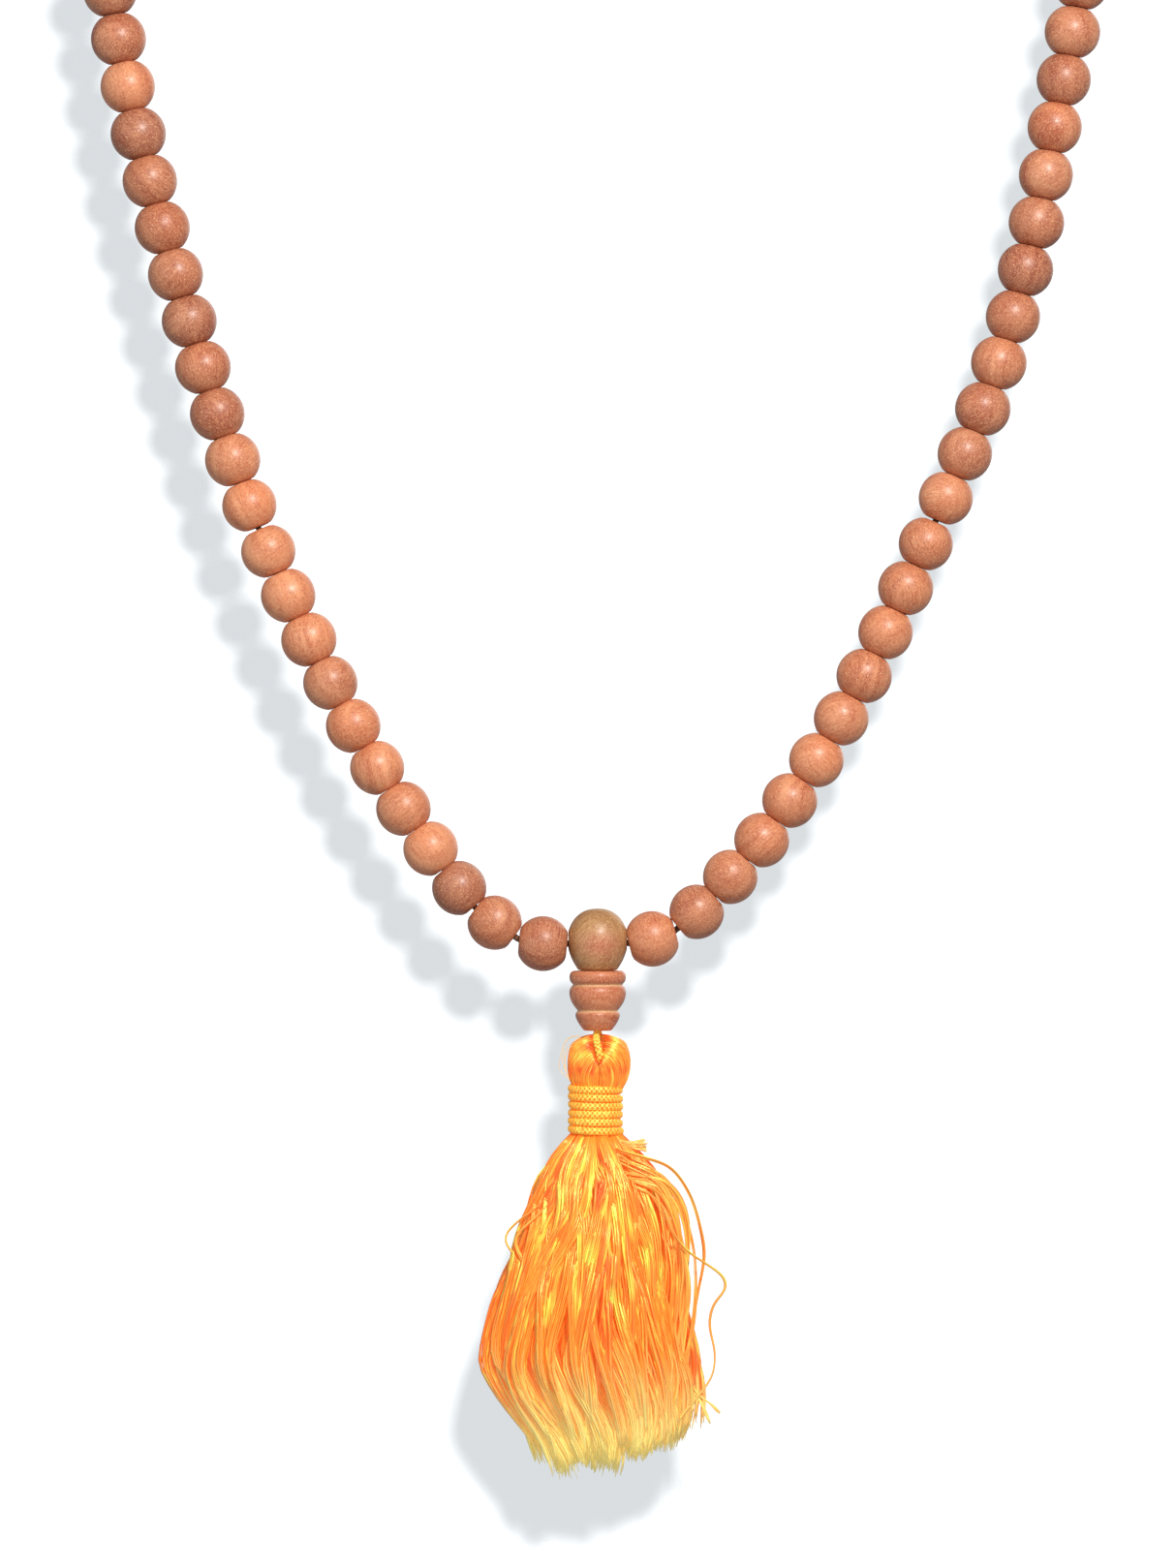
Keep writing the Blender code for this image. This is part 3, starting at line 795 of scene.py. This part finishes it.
def packed_silk(name, points, rings, around, height, shade):
    """A closed turned body of packed silk, with its grain's place around and up it; its shade, near 0 here,
    gives it the deep colour of painted shade.
    """
    core = mesh_object(name, points + np.array(GURU), ring_faces(rings, len(points) // rings), attributes=[
        ("thread", columns(around, height, 0.0)), ("shade", 0 * height + shade), ("tip", 0 * height),
    ])
    core.data.materials.append(SILK)
    return core


# Colours: deep (the painted shade colour), body, pale, glint (the painted highlight colour), tips; then the
# fibres' fineness.
SILK = silk_material("silk_floss", colour(1.0, 0.07, 0.016), colour(1.0, 0.27, 0.032),
                     colour(1.0, 0.48, 0.055), colour(0.72, 1.0, 0.13), colour(1.0, 0.86, 0.26), 12.0)
CORD_SILK = silk_material("cord_silk", colour(0.98, 0.13, 0.012), colour(1.0, 0.50, 0.045),
                          colour(1.0, 0.72, 0.10), colour(0.62, 1.0, 0.18), colour(1.0, 0.75, 0.12), 14.0)


# ---- braided cord and binding

CARRIERS = 6
BRAID_LAY = 1.95 * MM
BRAID_STEP = 0.1 * MM
BRAID_RADIUS = 0.40 * MM
STRAND_WIDTH = 0.27 * MM
STRAND_DEPTH = 0.17 * MM


def braid(threads, line, out, shine, wide=BRAID_RADIUS, flat=1.0):
    """A hollow braid along a line: two sets of strands that pass over and under each other.

    The strands on top get a painted highlight as strong as shine says at each place along the line; the
    strands passing under get painted shade.
    """
    along, across, out = frames(line, out)
    places = running_lengths(line)
    for way in (1, -1):
        for carrier in range(CARRIERS):
            turn = way * places / BRAID_LAY * math.tau + carrier * math.tau / CARRIERS
            wave = way * np.sin(CARRIERS * turn + math.pi * carrier)
            radius = wide + 0.075 * MM * wave
            outward = across * np.cos(turn)[:, None] + out * (np.sin(turn) * flat)[:, None]
            path = line + outward * radius[:, None]
            # Painted shade where a strand passes under, painted highlight where it lies on top.
            threads.add(path, outward, STRAND_WIDTH, STRAND_DEPTH, 0.45 + 1.0 * wave, 0.0,
                        shine * np.clip(wave * 2.5 - 1.2, 0, 1), section=5)


def in_tassel(x, y, z):
    """A point given in millimetres from the guru bead's middle."""
    return GURU + Vector((x, y, z)) * MM


def smooth_line(knots, step):
    """A smooth evenly spaced line through knots given in millimetres from the guru bead's middle."""
    return resampled(spline([in_tassel(*knot) for knot in knots], 12), step)


def make_cord():
    """The doubled cord, from inside the guru bead down through the tower and round the silk."""
    front = [(0, 0, -2.4), (0, -0.42, -2.65), (0, -0.58, -3.3), (0, -0.58, -8), (-0.05, -0.58, -12.8),
             (-0.15, -0.7, -13.6), (-0.2, -1.35, -14.3), (-0.12, -2.6, -14.75), (0.08, -3.55, -15.6),
             (0.28, -3.72, -16.5), (0.27, -3.1, -17.5), (0.05, -2.0, -18.3), (0.0, 0, -18.7)]
    back = [(-x, -y, z) for x, y, z in front[1:-1]]
    ring = front + back[::-1]
    line = smooth_line(ring + ring[:1], BRAID_STEP)
    threads = Threads("braided_cord")
    # 0.9 is the strength of the cord's painted highlight.
    braid(threads, line, np.array([[1.0, 0.0, 0.0]]), 0.9)
    cord = threads.finish(CORD_SILK)
    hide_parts("hanger_cord", "tassel_loop")
    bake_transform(cord)


BINDING_TOP = -21.15
BINDING_FOOT = -28.25
BINDING_TURNS = 6
BINDING_START = 1.9
BINDING_PATH = 3.56
BINDING_CENTRE = -0.28


def make_binding():
    """The cord wound six times round the neck, its ends tucked inwards behind."""
    count = int(BINDING_TURNS * math.tau * BINDING_PATH * MM / BRAID_STEP)
    part = np.linspace(0, 1, count)
    turn = BINDING_START + part * BINDING_TURNS * math.tau
    tuck = np.clip((0.012 - part) / 0.012, 0, 1) + np.clip((part - 0.988) / 0.012, 0, 1)
    radius = BINDING_PATH - 1.1 * tuck ** 2 + 0.10 * np.clip((part - 0.84) / 0.1, 0, 1)
    radius += 0.035 * np.sin(part * 37) + 0.03 * np.sin(turn * 0.73)
    descent = part + 0.75 * np.sin(turn - math.pi / 2) / (BINDING_TURNS * math.tau)
    height = BINDING_TOP + (BINDING_FOOT - BINDING_TOP) * descent + 0.05 * np.sin(turn * 1.31 + 0.6)
    line = columns(radius * np.cos(turn) + BINDING_CENTRE, radius * np.sin(turn), height)
    out = columns(np.cos(turn), np.sin(turn), 0.0)
    threads = Threads("binding_cord")
    # Painted highlight, strongest on the turns near the middle across.
    shine = 1.1 * hill(line[:, 0], -0.3, 2.0)
    braid(threads, line * MM + np.array(GURU), out, shine, 0.44 * MM, 0.8)
    binding = threads.finish(CORD_SILK)
    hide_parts("tassel_binding")
    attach(binding, "tassel")


make_cord()
make_binding()


# ---- silk head

V_FOOT = -18.0
V_TOP = -13.75
NECK_Z = -21.9
HEAD_CENTRE = 0.15
# The lobes' outline from above: (height, right half width, left half width, half depth)
HEAD_OUTLINE = [(-22, 3.15, 3.15, 3.1), (-21.2, 3.55, 3.6, 3.5), (-20.3, 4, 4.1, 3.95),
                (-19, 4.35, 4.35, 4.3), (-17.5, 4.48, 4.3, 4.35), (-16.2, 4.35, 4.15, 4.1),
                (-15, 4, 3.9, 3.6), (-14.2, 3.4, 3.1, 2.9), (-13.6, 2.6, 1.9, 2.1),
                (-13.35, 1.6, 1.2, 1.4)]
# The cord's place in front of the silk: (height, distance from the axis)
V_DEPTH = [(-18.2, 4.1), (-17, 3.95), (-15.7, 3.4), (-14.9, 2.5), (-14.3, 1.4), (-13.7, 0.75)]


def head_radius(angle, height, side):
    """The silk's distance from the axis, for an angle from the front or back and a height."""
    rows = np.array(HEAD_OUTLINE)
    wide = np.interp(height, rows[:, 0], rows[:, 1 if side > 0 else 2])
    deep = np.interp(height, rows[:, 0], rows[:, 3])
    return 1 / np.sqrt((np.sin(angle) / wide) ** 2 + (np.cos(angle) / deep) ** 2)


def head_thread(rise, side, face, lift):
    """One thread: out of the parting at a height, over its lobe and down into the binding."""
    count = 26
    t = np.linspace(0, 1, count)
    edge_z = V_FOOT + (V_TOP - V_FOOT) * rise
    rows = np.array(V_DEPTH)
    edge_depth = np.interp(edge_z, rows[:, 0], rows[:, 1])
    edge_width = 0.10 + 0.72 * rise ** 0.8
    start_angle = math.atan2(edge_width, edge_depth)
    start_radius = math.hypot(edge_width, edge_depth)
    end_angle = math.radians(1.5 + 89 * rise ** 0.85)
    angle = start_angle + (end_angle - start_angle) * (1 - (1 - t) ** (1.6 + 1.4 * rise))
    height = edge_z + (NECK_Z - edge_z) * t ** (1.25 + 0.55 * rise)
    outer = head_radius(angle, height, side)
    ease = np.clip(t / (0.16 + 0.22 * rise), 0, 1)
    radius = start_radius + (outer - start_radius) * ease * (2 - ease) + lift
    dip = np.clip(1 - t / 0.06, 0, 1)
    radius -= dip * 0.9
    x = side * radius * np.sin(angle) + HEAD_CENTRE * np.clip(1 - (height + 21) / -3, 0, 1)
    y = face * radius * np.cos(angle)
    return columns(x, y, height), columns(side * np.sin(angle), face * np.cos(angle), 0.25)


# Painted highlights, where the folded silk would catch the light: (across, height, half width, half height,
# strength)
HEAD_GLINTS = [(-2.2, -16.6, 1.15, 0.55, 1.3), (-3.1, -15.4, 0.5, 0.4, 0.8), (-1.9, -14.6, 0.6, 0.3, 0.8),
               (-2.5, -17.5, 0.3, 0.8, 0.7), (2.4, -15.2, 0.5, 1.1, 1.3), (2.3, -16.9, 0.25, 0.8, 0.7),
               (1.1, -16.6, 0.4, 0.6, 1.0), (0.25, -18.6, 0.5, 0.35, 0.7), (3.6, -17.8, 0.3, 0.9, 0.4)]


def head_glint(line):
    """How strong the painted highlight is at each point of a thread of the head."""
    return sum(strength * hill(line[:, 0], x, wide) * hill(line[:, 2], z, tall)
               for x, z, wide, tall, strength in HEAD_GLINTS)


def make_head():
    """Silk folded over the loop of cord: two lobes of fine threads that part in front and behind."""
    rng = random.Random(21)
    threads = Threads("silk_head_threads")
    for face in (-1, 1):
        for side in (-1, 1):
            for layer, amount in ((0, 60), (1, 130)):
                for number in range(amount):
                    rise = (number + rng.uniform(-0.4, 1.4)) / amount
                    rise = min(1.0, max(0.0, rise)) ** 0.9
                    lift = -0.24 + 0.24 * layer + rng.uniform(-0.10, 0.10)
                    line, out = head_thread(rise, side, face, lift)
                    part = np.linspace(0, 1, len(line))
                    line[:, 0] += side * 0.07 * wave(rng, part, 4, 9)
                    line[:, 2] += 0.06 * wave(rng, part, 5, 12)
                    width = rng.uniform(0.17, 0.36) * (0.6 + 0.7 * np.sin(np.pi * np.clip(part, 0.06, 0.94)))
                    # Painted shade: the under layer darker than the top one, each thread dark where it leaves
                    # the V of the parting, a darker band low on the lobes and a dark spot on the left lobe;
                    # the rest is random tone.
                    shade = 0.45 + 0.4 * layer + rng.uniform(-0.25, 0.25)
                    shade = shade - 2.4 * np.clip(1 - part / 0.16, 0, 1)
                    shade -= rng.uniform(0.2, 1.1) * hill(line[:, 2], -18.7, 0.9)
                    shade -= 1.1 * hill(line[:, 0], -1.1, 0.6) * hill(line[:, 2], -15.5, 0.6)
                    # Painted highlights on the lobes.
                    glint = rng.uniform(0.3, 1.2) * head_glint(line + rng.uniform(-0.25, 0.25))
                    threads.add(line * MM + np.array(GURU), out, width * MM, 0.13 * MM,
                                np.clip(shade, -1, 1), 0.0, glint, twist=0.35 * wave(rng, part, 2, 6))
    add_flyaways(threads, rng)
    head = threads.finish(SILK)
    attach(head, "tassel")
    rows = [(0.05, -14.6), (1.6, -14.7), (2.6, -15.3), (3.05, -16.5), (3.1, -18), (3.3, -19.5), (3.15, -20.8),
            (3.1, -21.6), (3.2, -24.5), (3.2, -28.2), (0.05, -28.6)]
    outline = smooth_outline(rows, 3)
    points = lathe(outline, 40)
    x, y, z = points.T
    # The head's core takes the deep colour: painted shade beneath the threads.
    core = packed_silk("silk_head_core", points, len(outline), np.arctan2(y, x) * 4, z / MM, 0.0)
    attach(core, "tassel")
    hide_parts("tassel_head")


def add_flyaways(threads, rng):
    """Single hair-thin threads that stand off the left lobe."""
    for number in range(4):
        bulge = rng.uniform(0.5, 1.5)
        top = rng.uniform(-15.6, -14.2)
        foot = rng.uniform(-21.2, -20.2)
        knots = [(-2.6, -2.2 + rng.uniform(-1, 1), top + 0.5), (-3.9 - bulge * 0.5, -1.2, top - 0.2),
                 (-4.2 - bulge, -0.8, (top + foot) / 2 + rng.uniform(-1, 1)),
                 (-4.1 - bulge * 0.3, -0.9, foot + 0.9), (-3.6, -1.0, foot)]
        line = smooth_line(knots, 0.3 * MM)
        threads.add(line, np.array([[-0.3, -1.0, 0.1]]), 0.07 * MM, 0.05 * MM, 0.9, 0.6)


make_head()


# ---- silk skirt

# Edges of the hanging silk, in millimetres: (height, left, right, half depth)
SKIRT_EDGE = [(-27.6, -2.9, 2.6, 2.7), (-28.6, -3.4, 3.1, 3.1), (-29.6, -4.6, 4.3, 3.9),
              (-32.3, -6.2, 6.2, 4.8),
              (-35.1, -7.5, 7.6, 5.8), (-40.7, -9.4, 9.3, 7.4), (-46.3, -11.6, 10.2, 8.6),
              (-52, -13.6, 10.9, 9.4), (-57.6, -14.7, 11.9, 9.8), (-61.5, -15.2, 13, 9.4),
              (-66.1, -12.6, 13.2, 8), (-71.7, -8.9, 12.6, 6), (-77.5, -6.9, 10.4, 4.2)]
SKIRT_TOP = -27.8
PARTING = (0.35, -34.5)
# Painted shade for deep hollows in the parting: (across, height, half height)
SHADED_HOLLOWS = [(0.2, -31.6, 1.3), (0.3, -36.4, 2.2)]


def eased_rows(rows, step):
    """A table of given rows with smooth values between them."""
    rows = np.array(rows)[::-1]
    places = np.arange(rows[0, 0], rows[-1, 0], step)
    fine = np.stack([places] + [np.interp(places, rows[:, 0], column) for column in rows[:, 1:].T], axis=1)
    for _ in range(60):
        fine[1:-1, 1:] = (fine[:-2, 1:] + fine[1:-1, 1:] * 2 + fine[2:, 1:]) / 4
    return fine


SKIRT_ROWS = eased_rows(SKIRT_EDGE, 0.25)


def skirt_place(across, depth, height):
    """A point of the hanging silk: across from -1 to 1, depth from -1 (front) to 1 (back)."""
    left, right, deep = (np.interp(height, SKIRT_ROWS[:, 0], SKIRT_ROWS[:, i]) for i in (1, 2, 3))
    return (left + right) / 2 + (right - left) / 2 * across, deep * depth


class Lock:
    """A lock of silk floss: a flat sheaf of fine strands that keep together along one route."""

    def __init__(self, rng, start, stop, settle, depth, end, wide, deep):
        self.rng = rng
        self.start, self.stop, self.settle = start, stop, settle
        self.depth, self.end = depth, end
        self.wide, self.deep = wide, deep
        self.phase = [rng.uniform(0, math.tau) for _ in range(4)]
        self.waves = [rng.uniform(0.5, 1.3), rng.uniform(1.5, 3.0), rng.uniform(2.2, 4.6)]
        self.lean = rng.uniform(-0.5, 0.5)
        self.flare = rng.choice((-0.6, -0.45, -0.2, 0.35, 0.8))
        self.twist = rng.uniform(-1.1, 1.1)

    def strand(self, place, layer, end, count):
        """One strand, at a place across the lock and a layer in its thickness, both from -1 to 1."""
        t = np.linspace(0, 1, count)
        height = SKIRT_TOP + (end - SKIRT_TOP) * t
        eased = np.clip(t / self.settle, 0, 1)
        eased = eased * eased * (3 - 2 * eased)
        across = np.clip(self.start + (self.stop - self.start) * eased, -1, 1)
        x, y = skirt_place(across, self.depth * np.sqrt(1 - across ** 2 * 0.85), height)
        opened = np.clip(t / 0.16, 0, 1)
        slow, fast, ripple = (np.sin(t * w * math.tau + p) for w, p in zip(self.waves, self.phase))
        turn = self.lean + self.twist * (t - 0.3)
        size = 0.35 + 0.65 * opened * (0.75 + 0.25 * np.cos(t * 5 + self.phase[3]))
        size *= 1 + self.flare * np.clip((t - 0.72) / 0.28, 0, 1)
        sideways = place * self.wide * size
        through = layer * self.deep * size
        x = x + opened * (0.95 * slow + 0.35 * fast) + sideways * np.cos(turn) - through * np.sin(turn)
        front = math.copysign(1, self.depth)
        y = y + front * opened * (0.45 * fast + 0.28 * ripple)
        y = y + front * (sideways * np.sin(turn) * 0.7 + through * np.cos(turn))
        gap = hill(height, PARTING[1], 3.2) * np.exp(-np.abs(x - PARTING[0]) / 1.2)
        if self.depth < 0:
            x = x + np.tanh((x - PARTING[0]) / 0.35) * gap * 0.7
        return columns(x, y, height), t, turn


def tip_colour(height, rng):
    """How far the silk has paled towards its cut ends."""
    return np.clip((-59.0 + rng.uniform(-4, 4) - height) / 15.0, 0, 1)


def add_lock(threads, lock, strands, shade, width, glints):
    """The strands of one lock, with painted highlights at a few places where it bends."""
    rng = lock.rng
    # Painted highlight spots: (height, half height, place across, half width).
    glint_spots = [(rng.triangular(-55, -28.6, -41), rng.uniform(1.1, 3.0), rng.uniform(-1, 1),
              rng.uniform(0.3, 0.75)) for _ in range(glints)]
    for number in range(strands):
        place = -1 + 2 * (number + rng.random()) / strands
        layer = rng.uniform(-1, 1) * math.sqrt(1 - place * place)
        end = lock.end + rng.uniform(-0.8, 0.8) + 5.0 * rng.random() ** 6
        line, t, turn = lock.strand(place, layer, end, 26)
        for axis in (0, 1):
            frizz = rng.uniform(0.03, 0.14) * wave(rng, t, 6, 20)
            line[:, axis] += frizz * np.clip(t * 4, 0, 1)
        front = math.copysign(1, lock.depth)
        out = columns(line[:, 0] * 0.05 - np.sin(turn), front * np.cos(turn), 0.12)
        taper = np.clip((1 - t) / 0.05, 0.3, 1) * (0.8 + 0.35 * np.sin(np.pi * t))
        # The strand's shade: random tone, lighter towards its lower end, with painted shade where it lies
        # deeper in the lock, in the middle depths of the skirt and in the parting's hollows.
        own = shade + 0.3 * layer + rng.uniform(-0.2, 0.2) + 0.25 * t
        x, z = line[:, 0], line[:, 2]
        own = own - 0.75 * hill(x, 0.3, 4.5) * hill(z, -51, 9.5)
        own = own - 1.5 * sum(hill(x, middle, 0.9) * hill(z, level, tall) for middle, level, tall in SHADED_HOLLOWS)
        # Painted highlight at the spots.
        caught = 1.3 * sum(hill(z, level - rng.uniform(-0.7, 0.7), half) * hill(place, middle, wide)
                           for level, half, middle, wide in glint_spots)
        twist = 0.35 * wave(rng, t, 3, 8)
        threads.add(line * MM + np.array(GURU), out, rng.uniform(*width) * taper * MM, 0.10 * MM,
                    np.clip(own, -1, 1), tip_colour(line[:, 2], rng), caught, twist)


# The clumps that the cut ends gather into: (place across, height)
CLUMPS = [(-0.92, -74), (-0.80, -76.9), (-0.48, -75.2), (-0.12, -76.4), (0.22, -74.6), (0.50, -74),
          (0.82, -72.8), (0.98, -71.4)]


def clump(across, rng):
    """Where a lock ends: beside the nearest clump, a little higher or lower than the others."""
    place, height = min(CLUMPS, key=lambda one: abs(one[0] - across))
    return place + rng.uniform(-0.10, 0.10), height + rng.uniform(-0.8, 2.2)


def make_core():
    """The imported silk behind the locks, which closes the parting."""
    rows = [(0.02, -28), (2.2, -28.1), (2.9, -29.2), (4.4, -31), (5.8, -34), (7.3, -39),
            (8.4, -45), (9, -52), (8.8, -59), (7, -65), (3.6, -68.5), (0.02, -69.5)]
    outline = smooth_outline(rows, 4)
    points = lathe(outline, 96)
    angle = np.arctan2(points[:, 1], points[:, 0])
    folds = 1 + 0.05 * np.sin(angle * 23) + 0.04 * np.sin(angle * 37 + points[:, 2] / MM * 0.2)
    x, y, z = (points / MM).T
    points = columns(x * folds * 1.05, y * folds * 0.72, z) * MM
    # The skirt's core takes nearly the deep colour: painted shade behind the locks.
    return packed_silk("silk_skirt_core", points, len(outline), angle * 7, z, 0.02)


def sway(piece):
    """Bakes a silk piece's placement into its mesh."""
    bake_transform(piece)


def make_skirt():
    """The loose silk under the binding, in layers from the middle outwards."""
    rng = random.Random(77)
    core = make_core()
    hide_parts("tassel_skirt")
    sway(core)
    # piece, locks, depth, half width and half thickness of a lock, strands, shade (lower for the inner
    # layers: painted shade), strand widths, glints (painted highlight spots per lock)
    layers = [("silk_skirt_inner", 40, 0.68, 1.7, 0.8, 14, 0.15, (0.5, 0.8), 0),
              ("silk_skirt_front", 30, -0.86, 1.5, 0.55, 32, 0.35, (0.24, 0.46), 1),
              ("silk_skirt_front_locks", 25, -1.02, 1.05, 0.4, 28, 0.70, (0.18, 0.36), 2),
              ("silk_skirt_sweeps", 15, -1.10, 0.8, 0.35, 24, 0.80, (0.18, 0.36), 3),
              ("silk_skirt_back", 30, 0.86, 1.5, 0.55, 26, 0.35, (0.28, 0.5), 1),
              ("silk_skirt_back_locks", 24, 1.02, 1.05, 0.4, 24, 0.70, (0.2, 0.38), 2)]
    for name, locks, depth, wide, deep, strands, shade, width, glints in layers:
        threads = Threads(name)
        for number in range(locks):
            across = -1 + 2 * (number + rng.uniform(0.1, 0.9)) / locks
            across = math.copysign(abs(across) ** 0.9, across) * 0.96
            start, settle = across, 1.0
            if name == "silk_skirt_sweeps":
                start, settle = 0.35 * across + rng.uniform(-0.05, 0.15), rng.uniform(0.35, 0.6)
            elif name != "silk_skirt_inner":
                start = min(0.96, max(-0.96, across + rng.uniform(-0.3, 0.3)))
            own = depth if name != "silk_skirt_inner" else depth * (-1, -0.35, 0.35, 1)[number * 7 % 4]
            stop, end = clump(across, rng)
            lock = Lock(rng, start, stop, settle, own * rng.uniform(0.9, 1.06), end,
                        wide * rng.uniform(0.7, 1.25), deep)
            add_lock(threads, lock, strands, shade + rng.uniform(-0.4, 0.25), width, glints)
        if name == "silk_skirt_front_locks":
            add_loops(threads, rng)
            add_tuft(threads, rng)
        sway(threads.finish(SILK))


LOOPS = [
    [(2.6, -3.6, -30.2), (4.9, -4.6, -30.8), (7.7, -4.9, -31.6), (10.8, -4.2, -33), (13.5, -3.2, -37),
     (15, -2.5, -42), (15.5, -2, -46), (14.6, -2, -51), (13.6, -2.4, -57), (12.6, -3, -64)],
    [(2.4, -4.4, -31.4), (4.6, -5.4, -32.2), (7, -5.6, -33.2), (9.8, -5, -35), (12.2, -4, -39),
     (13.8, -3.2, -44), (14.3, -2.8, -50), (13.9, -2.8, -56), (12.6, -3.2, -62), (12, -3.6, -68)],
    [(9.4, -6, -38.5), (11, -6.4, -42.5), (13.2, -6, -45), (15.8, -5.4, -46.8), (18.2, -5, -48.6),
     (18.6, -4.8, -50.4), (16.9, -4.6, -52.4), (16.2, -4.4, -55.5), (17, -4.2, -59.5), (16.6, -4, -63),
     (14.6, -4, -65.8), (12.2, -4.4, -68.6), (11, -4.6, -70.5)],
    [(-6.6, -3.8, -36), (-8.6, -4, -38.5), (-11.4, -4.2, -40.5), (-13.4, -4, -42.6),
     (-13.2, -3.8, -44.2), (-11.6, -4, -46), (-11.2, -4.8, -49), (-12.4, -5.2, -54),
     (-13.2, -5.2, -60)],
    [(-6.4, -4.2, -37.4), (-8.4, -4.6, -39.6), (-10.6, -4.8, -41.4), (-12, -4.6, -43.2),
     (-11.6, -4.6, -45), (-10.6, -5, -47), (-10.6, -5.6, -50), (-11.4, -6, -55)],
    [(12.8, -3.6, -62.5), (13.6, -3.8, -64.4), (14.8, -3.8, -66), (16.6, -3.8, -67.2), (17.8, -3.8, -68.4)],
    [(13, -3.4, -63), (14.2, -3.6, -65.2), (15.4, -3.6, -67.4), (16.4, -3.6, -70)],
]


def loose_loop(rng):
    """The knots of a thread that bows out of the silk on the right and falls back into it."""
    top, bow, foot = rng.uniform(-35, -31), rng.uniform(-49, -39), rng.uniform(-64, -56)
    reach = rng.uniform(9.8, 13.2)
    return [(rng.uniform(3.0, 5.0), -5.0, top), ((5 + reach) / 2 + 0.8, -5.2, top * 0.6 + bow * 0.4 + 1.5),
            (reach, -4.4 + rng.uniform(-1, 1), bow), (reach + rng.uniform(-1.6, 0.6), -4.0, (bow + foot) / 2),
            (rng.uniform(10.4, 12.4), -4.4, foot), (rng.uniform(9.8, 11.6), -4.6, foot - 5)]


def add_loops(threads, rng):
    """Long single threads that stand away from the silk at both sides."""
    for knots in LOOPS + [loose_loop(rng) for _ in range(16)]:
        base = smooth_line(knots, 0.7 * MM)
        t = np.linspace(0, 1, len(base))
        for number in range(4):
            shift = np.array([rng.uniform(-reach, reach) for reach in (0.16, 0.2, 0.12)]) * MM
            line = base + shift * (1 + 0.8 * wave(rng, t, 2, 6))[:, None]
            width = rng.uniform(0.22, 0.4) * MM * np.clip((1.02 - t) / 0.06, 0.3, 1)
            tip = 0.15 + tip_colour((line[:, 2] - GURU.z) / MM, rng) * 0.7
            # A painted highlight along part of each thread.
            glint = 0.6 * hill(t, rng.uniform(0.2, 0.6), 0.06)
            threads.add(line, np.array([[0.2, -1.0, 0.1]]), width, 0.12 * MM, 0.85, tip, glint,
                        np.sin(t * 7 + rng.uniform(0, 6)))


def add_tuft(threads, rng):
    """The cut end of the binding's cord, frayed, sticking out at the right."""
    for number in range(26):
        spread = rng.uniform(-1, 1)
        knots = [(2.0, -2.2, -28.6), (3.6, -2.4, -29.3 + 0.2 * spread),
                 (5.2, -2.4 + rng.uniform(-0.5, 0.5), -29.7 + 0.5 * spread),
                 (rng.uniform(6.4, 7.3), -2.4 + rng.uniform(-0.9, 0.9), -29.75 + 0.95 * spread)]
        line = smooth_line(knots, 0.3 * MM)
        threads.add(line, np.array([[0.0, -1.0, 0.2]]), rng.uniform(0.14, 0.3) * MM, 0.09 * MM, 0.8,
                    np.linspace(0.1, 0.7, len(line)), 0.0, rng.uniform(-0.6, 0.6))


make_skirt()
